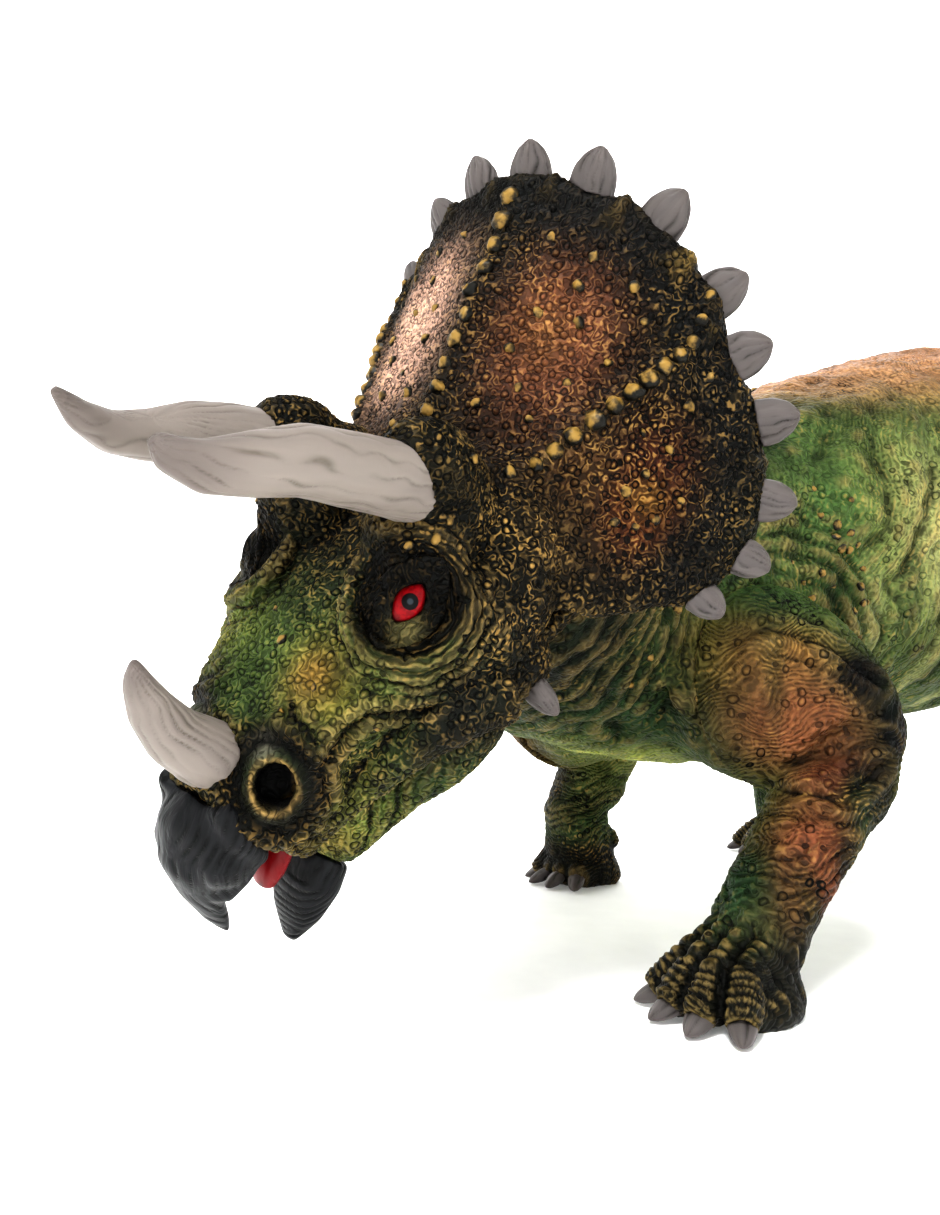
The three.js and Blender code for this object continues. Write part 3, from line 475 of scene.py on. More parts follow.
def add(tree, kind, inputs=None, **settings):
    """Adds a node with its settings, and each input as a value or a link."""
    made = tree.nodes.new(kind)
    for name, value in settings.items():
        setattr(made, name, value)
    for key, value in (inputs or {}).items():
        if isinstance(value, bpy.types.NodeSocket):
            tree.links.new(value, made.inputs[key])
        else:
            made.inputs[key].default_value = value
    return made


def sums(tree, operation, *values):
    return add(tree, "ShaderNodeMath", dict(enumerate(values)), operation=operation).outputs[0]


def product(tree, first, *others):
    for other in others:
        first = sums(tree, "MULTIPLY", first, other)
    return first


def vectors(tree, operation, *values):
    return add(tree, "ShaderNodeVectorMath", dict(enumerate(values)), operation=operation).outputs[0]


def scaled(tree, vector, factor):
    return add(tree, "ShaderNodeVectorMath", {0: vector, "Scale": factor}, operation="SCALE").outputs[0]


def split(tree, vector):
    """The three numbers of a vector."""
    return add(tree, "ShaderNodeSeparateXYZ", {0: vector}).outputs


def noise(tree, place, scale, detail):
    """The sockets of a cloudy pattern: Fac is its number, and Color its vector."""
    return add(tree, "ShaderNodeTexNoise", {"Vector": place, "Scale": scale, "Detail": detail}).outputs


def ramp(tree, value, low, high, start=0.0, end=1.0):
    """Goes smoothly from start at low to end at high."""
    return add(tree, "ShaderNodeMapRange", {
        "Value": value, "From Min": low, "From Max": high, "To Min": start, "To Max": end,
    }, interpolation_type="SMOOTHSTEP").outputs["Result"]


def carried(tree, name, kind):
    """The value that the points carry under that name, in geometry nodes."""
    return add(tree, "GeometryNodeInputNamedAttribute", {"Name": name}, data_type=kind).outputs["Attribute"]


def given(tree, name):
    """The vector that a piece's points carry under that name, in a finish or in geometry nodes."""
    if tree.type == "SHADER":
        return add(tree, "ShaderNodeAttribute", attribute_name=name).outputs["Vector"]
    return carried(tree, name, "FLOAT_VECTOR")


HALVES = (0.5, 0.5, 0.5)
STRAY = (0.7, 0.7, 0.7)
WORM_TURNS = 34.0
FLOW_STRAY = 9.0


def pebble_pattern(tree):
    """Round pebbles, each in its groove, with winding wrinkles between them: from 0 to 1."""
    grain = given(tree, "grain")
    flow, follow, share = split(tree, given(tree, "flow"))
    offset = vectors(tree, "SUBTRACT", noise(tree, grain, 0.7, 1.0)["Color"], HALVES)
    moved = vectors(tree, "MULTIPLY_ADD", offset, STRAY, grain)
    cells = add(tree, "ShaderNodeTexVoronoi", {
        "Vector": moved, "Scale": 1.0, "Randomness": 0.6}, feature="F1").outputs
    chance = split(tree, cells["Color"])[0]
    kept = ramp(tree, sums(tree, "SUBTRACT", share, chance), -0.04, 0.04)
    dome = product(tree, kept, ramp(tree, cells["Distance"], 0.12, 0.4, 1.0, 0.0))
    inside = product(tree, kept, ramp(tree, cells["Distance"], 0.43, 0.48, 1.0, 0.0))
    outside = sums(tree, "SUBTRACT", 1.0, inside)
    worms = noise(tree, grain, 0.9, 1.0)["Fac"]
    winding = sums(tree, "SINE", product(tree, worms, WORM_TURNS))
    turns = product(tree, flow, 2 * math.pi)
    drawn = sums(tree, "SINE", sums(tree, "ADD", turns, product(tree, worms, FLOW_STRAY)))
    apart = sums(tree, "SUBTRACT", drawn, winding)
    wave = sums(tree, "ADD", winding, product(tree, apart, follow))
    between = product(tree, outside, ramp(tree, wave, -0.7, 0.8, 0.22, 0.82))
    return sums(tree, "ADD", dome, between)


def streak_pattern(tree):
    """The grooves that a moulding's points carry, with fine streaks along it, from 0 in a groove to 1."""
    groove = split(tree, given(tree, "flow"))[0]
    streaks = noise(tree, given(tree, "grain"), 1.0, 2.0)["Fac"]
    return sums(tree, "ADD", groove, ramp(tree, streaks, 0.35, 0.65, -0.12, 0.12))


def geometry_tree(name, *inputs):
    """A geometry tree with its named inputs, each (name, type, first value), and their sockets."""
    tree = bpy.data.node_groups.new(name, "GeometryNodeTree")
    face = tree.interface
    face.new_socket("Geometry", in_out="INPUT", socket_type="NodeSocketGeometry")
    for title, kind, value in inputs:
        face.new_socket(title, in_out="INPUT", socket_type=kind).default_value = value
    face.new_socket("Finish", in_out="INPUT", socket_type="NodeSocketMaterial")
    face.new_socket("Geometry", in_out="OUTPUT", socket_type="NodeSocketGeometry")
    return tree, add(tree, "NodeGroupInput").outputs


def sent_out(tree, geometry, finish):
    """Ends a geometry tree: its geometry takes the finish and leaves."""
    made = add(tree, "GeometryNodeSetMaterial", {"Geometry": geometry, "Material": finish})
    add(tree, "NodeGroupOutput", {"Geometry": made.outputs[0]})
    return tree


def relief_tree(name):
    """Geometry nodes that raise the pebbles along the normals by each point's own amount."""
    tree, entry = geometry_tree(name)
    amount = product(tree, pebble_pattern(tree), carried(tree, "relief", "FLOAT"))
    offset = scaled(tree, add(tree, "GeometryNodeInputNormal").outputs[0], amount)
    moved = add(tree, "GeometryNodeSetPosition", {"Geometry": entry["Geometry"], "Offset": offset})
    real = add(tree, "GeometryNodeRealizeInstances", {"Geometry": moved.outputs[0]})
    return sent_out(tree, real.outputs[0], entry["Finish"])


NODULE_HEIGHT_SHARE = 0.78
DENTS_PER_MM = 0.55
DENT_DEPTH = 1.3 * MM


def nodule_tree(name):
    """Geometry nodes that set a domed nodule on each point, of that point's own size."""
    tree, entry = geometry_tree(
        name, ("Height share", "NodeSocketFloat", NODULE_HEIGHT_SHARE), ("Seed", "NodeSocketInt", SEED))
    size = carried(tree, "size", "FLOAT")
    up = carried(tree, "up", "FLOAT_VECTOR")
    points = add(tree, "GeometryNodeMeshToPoints", {"Mesh": entry["Geometry"]})
    ball = add(tree, "GeometryNodeMeshIcoSphere", {"Radius": 1.0, "Subdivisions": 3})
    rise = split(tree, add(tree, "GeometryNodeInputPosition").outputs[0])[2]
    dome = add(tree, "GeometryNodeStoreNamedAttribute", {
        "Geometry": ball.outputs[0], "Name": "crown", "Value": rise}, data_type="FLOAT", domain="POINT")
    turned = add(tree, "FunctionNodeAlignRotationToVector", {"Vector": up}, axis="Z")
    spin = add(tree, "FunctionNodeRandomValue", {
        "Max": (0.0, 0.0, 2 * math.pi), "Seed": entry["Seed"]}, data_type="FLOAT_VECTOR")
    rotation = add(tree, "FunctionNodeEulerToRotation", {0: spin.outputs[0]})
    both = add(tree, "FunctionNodeRotateRotation", {
        "Rotation": turned.outputs[0], "Rotate By": rotation.outputs[0]}, rotation_space="LOCAL")
    tall = product(tree, size, entry["Height share"])
    stretch = add(tree, "FunctionNodeRandomValue", {
        "Min": 0.85, "Max": 1.2, "Seed": entry["Seed"]}, data_type="FLOAT")
    length = product(tree, size, stretch.outputs[1])
    scale = add(tree, "ShaderNodeCombineXYZ", {0: length, 1: size, 2: tall})
    copies = add(tree, "GeometryNodeInstanceOnPoints", {
        "Points": points.outputs[0], "Instance": dome.outputs[0],
        "Rotation": both.outputs[0], "Scale": scale.outputs[0]})
    real = add(tree, "GeometryNodeRealizeInstances", {"Geometry": copies.outputs[0]})
    place = add(tree, "GeometryNodeInputPosition").outputs[0]
    middle = vectors(tree, "SUBTRACT", noise(tree, place, DENTS_PER_MM / MM, 1.0)["Color"], HALVES)
    shift = scaled(tree, middle, DENT_DEPTH)
    uneven = add(tree, "GeometryNodeSetPosition", {"Geometry": real.outputs[0], "Offset": shift})
    smooth = add(tree, "GeometryNodeSetShadeSmooth", {"Geometry": uneven.outputs[0]})
    return sent_out(tree, smooth.outputs[0], entry["Finish"])


def grown(name, mesh, tree, **values):
    """The mesh that a tree makes of this one. Its named inputs are set before it is evaluated."""
    item = placed(name, mesh)
    modifier = item.modifiers.new(tree.name, "NODES")
    modifier.node_group = tree
    for socket in tree.interface.items_tree:
        key = socket.name.lower().replace(" ", "_")
        if socket.in_out == "INPUT" and key in values:
            modifier[socket.identifier] = values[key]
    return baked(item)


def cached(name, make):
    """The tree or material of that name, made once."""
    found = bpy.data.node_groups.get(name) or bpy.data.materials.get(name)
    return found or make(name)


def new_material(name):
    material = bpy.data.materials.new(name)
    material.use_nodes = True
    material.node_tree.nodes.clear()
    return material, material.node_tree


def shaded(tree, values, height=None, strength=1.0, depth=0.0):
    """Ends a material: one shader takes the named values, and the height bumps it, in millimetres."""
    if height:
        bump = add(tree, "ShaderNodeBump", {"Height": height, "Strength": strength, "Distance": depth * MM})
        values = {**values, "Normal": bump.outputs[0]}
    shader = add(tree, "ShaderNodeBsdfPrincipled", values)
    add(tree, "ShaderNodeOutputMaterial", {"Surface": shader.outputs[0]})


def opaque(colour):
    """A colour as a socket takes it, from sRGB hex or a linear colour. A link stays itself."""
    if isinstance(colour, bpy.types.NodeSocket):
        return colour
    return (*(linear(colour) if isinstance(colour, str) else colour), 1.0)


def blended(tree, first, second, share):
    return add(tree, "ShaderNodeMix", {
        "Factor": share, 6: opaque(first), 7: opaque(second)}, data_type="RGBA").outputs[2]


VINYL_IOR = 1.53


def painted_vinyl(name):
    """Soft PVC, rotocast, airbrushed, washed dark in its grooves and dry-brushed on its high points.

    The eye sees a satin skin, nearly black between the pebbles, with gold on their tops."""
    material, tree = new_material(name)
    grain = given(tree, "grain")
    colour = add(tree, "ShaderNodeAttribute", attribute_name="paint").outputs["Color"]
    wash, gild, rough = split(tree, given(tree, "touch"))
    height = pebble_pattern(tree)
    patches = noise(tree, grain, 0.2, 3.0)["Fac"]
    speckle = noise(tree, grain, 1.7, 3.0)["Fac"]
    mottle = ramp(tree, patches, 0.3, 0.7, 0.75, 1.2)
    grainy = ramp(tree, speckle, 0.3, 0.7, 0.8, 1.2)
    tone = scaled(tree, colour, product(tree, mottle, grainy))
    low = product(tree, ramp(tree, height, 0.05, 0.5, 1.0, 0.0), wash)
    washed = blended(tree, tone, paint().wash, low)
    drag = ramp(tree, patches, 0.38, 0.6, 0.25, 1.0)
    fleck = ramp(tree, speckle, 0.42, 0.6, 0.15, 1.0)
    high = product(tree, ramp(tree, height, 0.62, 0.9), drag, fleck, gild)
    fine = product(tree, speckle, 0.1)
    shaded(tree, {
        "Base Color": blended(tree, washed, paint().gold, high),
        "Roughness": ramp(tree, speckle, 0.3, 0.7, 0.48, 0.62),
        "IOR": VINYL_IOR, "Specular IOR Level": 0.12,
    }, sums(tree, "ADD", product(tree, height, rough), fine), 1.0, 0.85)
    return material


def moulded_horn(name, grey, groove):
    """Harder PVC, injection moulded and sprayed one warm grey, matt, with darker streaks in the grooves."""
    material, tree = new_material(name)
    tip = add(tree, "ShaderNodeAttribute", attribute_name="tip").outputs["Fac"]
    height = streak_pattern(tree)
    cloud = noise(tree, given(tree, "grain"), 0.4, 3.0)["Fac"]
    streaked = blended(tree, grey, groove, ramp(tree, height, 0.0, 0.8, 1.0, 0.0))
    tipped = blended(tree, streaked, "#4a4240", ramp(tree, tip, 0.7, 1.0, 0.0, 0.6))
    clouded = blended(tree, tipped, "#6b6460", ramp(tree, cloud, 0.4, 0.7, 0.0, 0.35))
    shaded(tree, {
        "Base Color": clouded, "Roughness": 0.5, "IOR": VINYL_IOR, "Specular IOR Level": 0.25,
    }, height, 0.8, 0.3)
    return material


def horn_grey(name):
    return moulded_horn(name, paint().horn, "#686159")


def spike_grey(name):
    return moulded_horn(name, paint().spike, "#252120")


def moulded_beak(name):
    """Harder PVC, injection moulded in charcoal, satin, with paler wear on its ridges."""
    material, tree = new_material(name)
    height = streak_pattern(tree)
    worn = blended(tree, paint().beak, "#2c2d30", ramp(tree, height, 0.6, 1.1, 0.0, 0.45))
    shaded(tree, {
        "Base Color": worn, "Roughness": 0.42, "IOR": VINYL_IOR, "Specular IOR Level": 0.15,
    }, height, 1.0, 0.35)
    return material


def wet_tongue(name):
    """Soft PVC, moulded and sprayed with red gloss enamel, streaked darker along its length."""
    material, tree = new_material(name)
    height = streak_pattern(tree)
    red = blended(tree, "#3f070b", paint().tongue, ramp(tree, height, 0.1, 0.7))
    shaded(tree, {
        "Base Color": red, "Roughness": 0.3, "IOR": 1.5, "Specular IOR Level": 0.2, "Coat Weight": 0.08,
    }, height, 0.5, 0.4)
    return material


def lacquered_eye(name):
    """Acrylic eye, turned and lacquered: a red iris with darker rays round a black pupil, whose slate
    centre is a painted glint.
    """
    material, tree = new_material(name)
    grain = given(tree, "grain")
    flat = vectors(tree, "MULTIPLY", grain, (1.0, 1.0, 0.0))
    radius = add(tree, "ShaderNodeVectorMath", {0: flat}, operation="LENGTH").outputs["Value"]
    rays = ramp(tree, noise(tree, grain, 1.4, 3.0)["Fac"], 0.35, 0.6)
    iris = blended(tree, "#6a0810", paint().iris, rays)
    rim = blended(tree, iris, "#3a0508", ramp(tree, radius, 2.9, 4.4))
    pupil = blended(tree, rim, "#020203", ramp(tree, radius, 1.5, 1.7, 1.0, 0.0))
    # Painted glint: the slate centre of the pupil.
    centre = blended(tree, pupil, "#333b41", ramp(tree, radius, 0.4, 0.75, 1.0, 0.0))
    shaded(tree, {"Base Color": centre, "Roughness": 0.3, "IOR": 1.49, "Specular IOR Level": 0.2})
    return material


LINES_PER_MM = 0.2


def drawn_steel(name):
    """Steel pin, drawn and cut, with fine lines along it."""
    material, tree = new_material(name)
    place = add(tree, "ShaderNodeTexCoord").outputs["Object"]
    tone = blended(tree, "#8f9396", "#b9bcbe", noise(tree, place, LINES_PER_MM / MM, 2.0)["Fac"])
    shaded(tree, {"Base Color": tone, "Metallic": 1.0, "Roughness": 0.32})
    return material


BLOTCHES_PER_MM = 0.5
FIBRES_PER_METRE = 90.0


def gilded_nodule(name):
    """The same PVC as the skin: a dome graded by height from near-black round its foot to gold on top,
    partly wash and dry-brush, partly painted shade at the foot and painted light on the crown.
    """
    material, tree = new_material(name)
    place = add(tree, "ShaderNodeTexCoord").outputs["Object"]
    blotch = noise(tree, place, BLOTCHES_PER_MM / MM, 3.0)["Fac"]
    crown = add(tree, "ShaderNodeAttribute", attribute_name="crown").outputs["Fac"]
    broken = sums(tree, "ADD", crown, ramp(tree, blotch, 0.3, 0.7, -0.35, 0.35))
    # Painted light and shade along with the dry-brush and wash: near-black at the dome's foot, gold toward
    # its crown.
    tone = blended(tree, "#12110b", "#8c7139", ramp(tree, broken, 0.3, 1.05))
    shaded(tree, {
        "Base Color": tone, "Roughness": 0.45, "IOR": VINYL_IOR, "Specular IOR Level": 0.25,
    }, blotch, 0.5, 0.5)
    return material


def paper(name):
    """Seamless studio paper, matt and pale."""
    material, tree = new_material(name)
    place = add(tree, "ShaderNodeTexCoord").outputs["Object"]
    fibres = noise(tree, place, FIBRES_PER_METRE, 2.0)["Fac"]
    shaded(tree, {"Base Color": blended(tree, "#efefee", "#f7f7f6", fibres), "Roughness": 0.8})
    return material


def thinned(mesh, limit):
    """The mesh with no more triangles than the limit."""
    triangles = sum(len(face.vertices) - 2 for face in mesh.polygons)
    if triangles <= limit:
        return mesh
    item = placed("thinned", mesh)
    item.modifiers.new("Fewer", "DECIMATE").ratio = limit / triangles
    return baked(item)


def finished(name, mesh, material, body, nodes):
    """The piece that stands for the nodes: smooth, one material, and riding on its body."""
    mesh.materials.clear()
    mesh.materials.append(material)
    mesh.polygons.foreach_set("use_smooth", np.ones(len(mesh.polygons), bool))
    mesh.polygons.foreach_set("material_index", np.zeros(len(mesh.polygons), np.int32))
    item = placed(name, mesh)
    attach(item, body)
    if nodes:
        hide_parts(*nodes)
    return item


def normed(values):
    """The values over their usual greatest size, so that most lie between -1 and 1."""
    return np.clip(values / np.percentile(np.abs(values), 96), -1, 1)


def aged(colour, crest, dark, bright):
    """Settles wash in the creases and drags gold over the crests, each by its own amount."""
    return tinted(
        colour,
        ("#0b0c09", np.asarray(dark) * step_down(crest, -0.9, -0.1)),
        ("#98804c", np.asarray(bright) * step_up(crest, 0.25, 1.0)))


CHALK_SHARE = 0.14


def dressed(skin, colour, touch, relief, pebble, body, slot, nodes, flow=0.0, follow=0.0, share=0.7):
    """Paints a sculpted skin, raises its pebbles and makes it the finished piece."""
    mesh = skin.mesh
    count = len(skin.world)
    skin.normals()
    colour = (1 - CHALK_SHARE) * colour + CHALK_SHARE * colour.mean(1, keepdims=True)
    run = [np.broadcast_to(value, count) for value in (flow, follow, share)]
    store(mesh, "grain", skin.places / pebble)
    store(mesh, "flow", np.stack(run, 1))
    store(mesh, "relief", np.broadcast_to(relief, count) * MM)
    store(mesh, "paint", np.concatenate([np.clip(colour, 0, 1), np.ones((count, 1))], 1))
    touch = [np.broadcast_to(np.clip(value, 0, 1), count) for value in touch]
    store(mesh, "touch", np.stack(touch, 1))
    material = cached(f"Airbrushed PVC skin, {slot}", painted_vinyl)
    raised = grown("relief", mesh, cached("Pebbled relief", relief_tree), finish=material)
    result = thinned(raised, sizes().piece_triangles)
    return finished(f"{skin.name}_skin" if nodes else skin.name, result, material, body, nodes)


# The head.

EYE = np.array([36.6, 24.0, 12.3])
EYE_OUT = np.array([-0.093, 0.687, 0.72])
EYE_LONG = np.array([-0.96, 0.22, -0.175])
EYE_HALF_LENGTH = 4.4
EYE_HALF_HEIGHT = 2.95
EYE_HALF_DEPTH = 2.4
EYE_SUNK = 0.9
CORNER_PINCH = 0.35
EYE_WRINKLE = 1.25
SOCKET_FOLD = 1.9
CHEEK_FOLD = 2.6
MUZZLE_FOLD = 3.2
JAW_FOLD = 5.0
ORBIT_RADIUS = 11.5
# From the eye back to the cheek, on the left side.
CHEEK_WAY = (0.35, 0.65, -0.65)
NOSTRIL = np.array([77.2, 12.9, 15.9])
NOSTRIL_LONG = np.array([0.83, 0.37, -0.4])
NOSTRIL_OUT = np.array([0.1, 0.72, 0.69])
NOSTRIL_STRETCH = 1.2
NOSTRIL_DEPTH = 12.0
MOUTH_CREASE = [(80, 16, 4), (75, 18.6, 9), (71, 18.7, 12), (67, 19.6, 11.7), (63.7, 20.6, 11.6),
                (59, 23, 10), (54, 27.8, 1), (51, 31, -5), (46, 37, -14)]
LIP_CREASE = [(83, 15, 0), (76, 18, -4), (68, 21, -6), (61, 25, -8)]
SNOUT_CREASE = [(60, 9, 19), (64, 12, 17.5), (67, 17, 14)]
# Each crease with its depth and width, and the height, place and width of the lips along it.
HEAD_CREASES = [
    (MOUTH_CREASE, 1.5, 0.9, 0.7, 2.6, 1.3),
    (LIP_CREASE, 1.1, 0.9, 0.5, 2.4, 1.2),
    (SNOUT_CREASE, 0.9, 1.1, 0.5, 2.6, 1.4),
]
RIDGE = [(10, 22, 8), (7.5, 23.3, 6.2), (-0.4, 26.4, -8.1), (-9.3, 31, -11.2), (-19.9, 35.8, -15.1),
         (-27.8, 39.7, -18.4), (-35.6, 42.7, -21.3), (-47, 43, -21)]


def squared(way, other):
    """The way with its share along another taken out, at unit length."""
    return unit(way - other * (way @ other))


def eye_axes(side):
    """The eye's long way, its short way and the way it looks, in the head's space."""
    flip = np.array([1, side, 1])
    out = unit(EYE_OUT * flip)
    along = squared(EYE_LONG * flip, out)
    return along, np.cross(out, along), out


def almond(turn, scale):
    """A point of the eye's outline: its place along and across, pointed at the two corners."""
    along, across = math.cos(turn), math.sin(turn)
    pinch = 1 - CORNER_PINCH * along ** 2
    return scale * EYE_HALF_LENGTH * along, scale * EYE_HALF_HEIGHT * across * pinch


HORN_BACK = (40, 0, -300)


def behind(name):
    """A point behind a horn, spike or claw, which its tip lies farthest from."""
    if "_claw_" in name:
        return joint_point(LEG_JOINTS[name.split("_claw_")[0]])
    return HEAD.outward(HORN_BACK) if name in HORNS else HEAD.origin


RING_SHARE = 0.3


def insert_frame(name):
    """An insert's own line, in millimetres: its tip, and the middle and radius of its widest ring."""
    points = node_form(name)[0]
    tip = points[np.linalg.norm(points - behind(name), axis=1).argmax()]
    middle = points.mean(0)
    way = unit(tip - middle)
    along = points @ way
    away = np.linalg.norm((points - middle) - ((points - middle) @ way)[:, None] * way, axis=1)
    ring = points[np.abs(along - along[away.argmax()]) <= RING_SHARE * away.max()]
    return tip, ring.mean(0), np.linalg.norm(ring - ring.mean(0), axis=1).max()


HORN_BOSS = (12.5, 18.5, 14.5)
HORN_BOSS_RADII = (9.5, 9.0, 12.5)
EYEBALL_DEPTH = 6.5
EYEBALL_RADIUS = 7.0
ORBIT_SUNK = 3.2
ORBIT_FRONT_SUNK = 5.0
CHEEK_BAND = [(87, 12, 1), (80, 15.5, -1), (72, 18.5, -2), (62, 24.5, -3), (53, 31, -6), (46, 35.5, -13)]
CHEEK_BAND_RADII = [2.5, 3.2, 4, 5.2, 6, 6]
JAW_FLANK = [(90, 10, -15), (80, 13, -16), (71, 17, -17), (62, 23, -18), (54, 28, -17.5), (49, 30, -17)]
JAW_FLANK_RADII = [4, 5.5, 7, 8, 7, 5.5]
NECK_PLUG_CUT = 26.0
PLUG_REACH = 40.0
SEAL_THICK = 2.0


def seat_plug(joint, way, radius):
    """A cylinder that takes a plug off at its seat, and the plate that closes the hole it leaves."""
    place = joint_point(joint)
    cutter = disc(place + 0.2 * way, -way, radius, PLUG_REACH)
    return cutter, disc(place + 0.1 * way, way, radius, SEAL_THICK)


def sided(points, side):
    """The head's places on its left side, or the same ones on its right."""
    return np.array(points, float) * np.array([1, side, 1])


def head_ball(centre, radii, side):
    return ball(HEAD.outward(sided(centre, side)), radii, HEAD.axes)


def head_tube(line, radii, side):
    return tube(HEAD.outward(sided(line, side)), radii)


def head_forms():
    way = joint_axis("neck_swivel")
    cutter, seal = seat_plug("neck_swivel", way, NECK_PLUG_CUT)
    forms = [node_form("head_shell", [cutter]), seal]
    for name in SPIKES + CHEEK_SPIKES + HORNS:
        tip, base, radius = insert_frame(name)
        forms.append(ball(base + 0.8 * radius * unit(base - tip), 0.92 * radius))
    for side in (1, -1):
        along, across, out = eye_axes(side)
        eye = sided(EYE, side)
        forms.append(ball(HEAD.outward(eye - EYEBALL_DEPTH * out), EYEBALL_RADIUS))
        turns = np.linspace(0, 2.1 * math.pi, 34)
        ways = np.array([math.cos(t) * along + math.sin(t) * across for t in turns])
        back = ways @ sided(CHEEK_WAY, side)
        sunk = ORBIT_SUNK + ORBIT_FRONT_SUNK * np.clip(-back, 0, 1)
        rim = eye + ORBIT_RADIUS * ways - sunk[:, None] * out
        forms.append(tube(HEAD.outward(rim), 2.3 + 0.9 * back))
        forms.append(head_ball(HORN_BOSS, HORN_BOSS_RADII, side))
        forms.append(head_tube(CHEEK_BAND, CHEEK_BAND_RADII, side))
    return forms


def jaw_forms():
    """The jaw's solid, with the flanks that carry it back to the cheeks."""
    return [node_form("lower_jaw")] + [head_tube(JAW_FLANK, JAW_FLANK_RADII, side) for side in (1, -1)]


def orbit_fields(places, side):
    """Distance from the eye, and how far round toward the cheek a place lies, from 0 to 1."""
    away = places - sided(EYE, side)
    distance = np.linalg.norm(away, axis=1)
    rear = (away @ sided(CHEEK_WAY, side)) / np.maximum(distance, 1)
    return distance, np.clip(0.5 + 0.5 * rear, 0, 1)


def nostril_reach(even):
    """How far a place lies from the nostril's middle across its mouth, in an oval measure."""
    away = even - NOSTRIL
    out = unit(NOSTRIL_OUT)
    long_way = squared(NOSTRIL_LONG, out)
    depth = away @ out
    along = away @ long_way
    across = away @ np.cross(out, long_way)
    reach_across = np.hypot(along / NOSTRIL_STRETCH, across)
    return np.where(np.abs(depth) < NOSTRIL_DEPTH, reach_across, np.linalg.norm(away, axis=1))


def frill_rim(skin):
    """How near a place is to the frill's rim, how far off the nearest spike is, and its border's share."""
    bases = np.array([insert_frame(name)[1] for name in SPIKES])
    away = np.linalg.norm(skin.world[:, None] - bases, axis=2).min(1)
    distance, _ = line_reach(skin.world, bases)
    return 1 - step_up(distance, 3.5, 8), away, 1 - step_up(distance, 8, 19)


def sculpt_head(skin):
    places = skin.places
    down, left, out = places.T
    wide = np.abs(left)
    even = folded(places)
    push = np.zeros(len(places))
    frill = step_down(down, -6, 8)
    for side in (1, -1):
        distance, rear = orbit_fields(places, side)
        outside = (left * side > 2).astype(float)
        ring = folds(distance + 0.8 * ripple(places, 8, 3), CHEEK_FOLD)
        ring = ring * hump(distance, 15, 3.8) * (0.1 + 0.9 * rear)
        dish = folds(distance + 0.4 * ripple(places, 5, 4), SOCKET_FOLD) * hump(distance, 8.2, 1.9)
        push += outside * (0.75 * ring + 0.8 * dish)
        eye = sided(EYE, side)
        along, across, look = eye_axes(side)
        away = places - eye
        oval = np.hypot(away @ along / EYE_HALF_LENGTH, away @ across / EYE_HALF_HEIGHT)
        socket = 1 - step_up(oval, 0.7, 1.2)
        push -= outside * socket * (away @ look > -6)
    nostril = nostril_reach(even)
    push += 0.6 * hump(nostril, 4.8, 0.8) - 0.8 * hump(nostril, 6.9, 1.0) + 0.7 * hump(nostril, 9.6, 1.5)
    push -= 5.0 * (1 - step_up(nostril, 2.3, 4.0))
    for line, depth, width, lip, lip_place, lip_width in HEAD_CREASES:
        crease, _ = line_reach(even, line)
        push += -depth * hump(crease, 0, width) + lip * hump(crease, lip_place, lip_width)
    front = out > -6
    ridge, _ = line_reach(even, RIDGE)
    push += 2.0 * hump(ridge, 0, 3.6) * step_down(down, -2, 12)
    push += frill * front * 1.3 * hump(wide, 0, 3.5)
    push -= frill * (out > -26) * 1.8 * near(even, (-28, 18, -6), (24, 10, 16))
    push += frill * 0.4 * ripple(places, 20, 5)
    rim, away, _ = frill_rim(skin)
    push += rim * (1.3 * step_up(away, 6.5, 9.5) + 0.4)
    push += near(even, (25, 17, 14), (10, 8, 8))
    muzzle = near(even, (84, 13, 8), (9, 7, 10))
    wrinkle = out * 0.35 + down + 1.2 * ripple(places, 9, 9)
    push += 0.5 * muzzle * folds(wrinkle, MUZZLE_FOLD)
    push += 0.3 * ripple(places, 12, 8) * (1 - frill)
    skin.push(push)


# Airbrushed spots of the head: colour, middle, radii and strength, on the left half.
HEAD_SPRAYS = [
    ("#2b3220", (44, 0, 15), (12, 14, 9), 0.9),
    ("#4a3a22", (4, 36, -14), (16, 12, 12), 0.8),
    ("#4c6330", (59, 4, 18), (15, 12, 10), 1.0),
    ("#5f6f31", (53, 12, 15), (9, 8, 8), 0.8),
    ("#67763a", (56, 21, 11), (9, 7, 8), 1.0),
    ("#5d6e3a", (46, 30, 3), (8, 8, 8), 0.7),
    ("#7f7c2a", (58, 18, 14), (5, 4, 4), 0.6),
    ("#232420", (50, 31, -4), (13, 7, 7), 0.95),
    ("#4a5a30", (64, 23, -2), (8, 5, 7), 0.8),
    ("#6e7434", (76, 19, 2), (9, 5, 6), 0.85),
    ("#7c7136", (86, 14, 6), (7, 6, 6), 0.8),
    ("#1b1c17", (88, 5, 18), (8, 9, 7), 0.8),
    ("#4c4a2c", (84, 9, 19), (5, 5, 5), 0.6),
    ("#4c2513", (-6, 45, -22), (14, 9, 10), 0.95),
    ("#663516", (2, 44, -22), (7, 6, 7), 0.8),
    ("#7f5c1a", (-2, 45, -23), (4, 4, 5), 0.6),
    ("#553a1c", (-2, 33, -13), (8, 5, 6), 0.7),
]


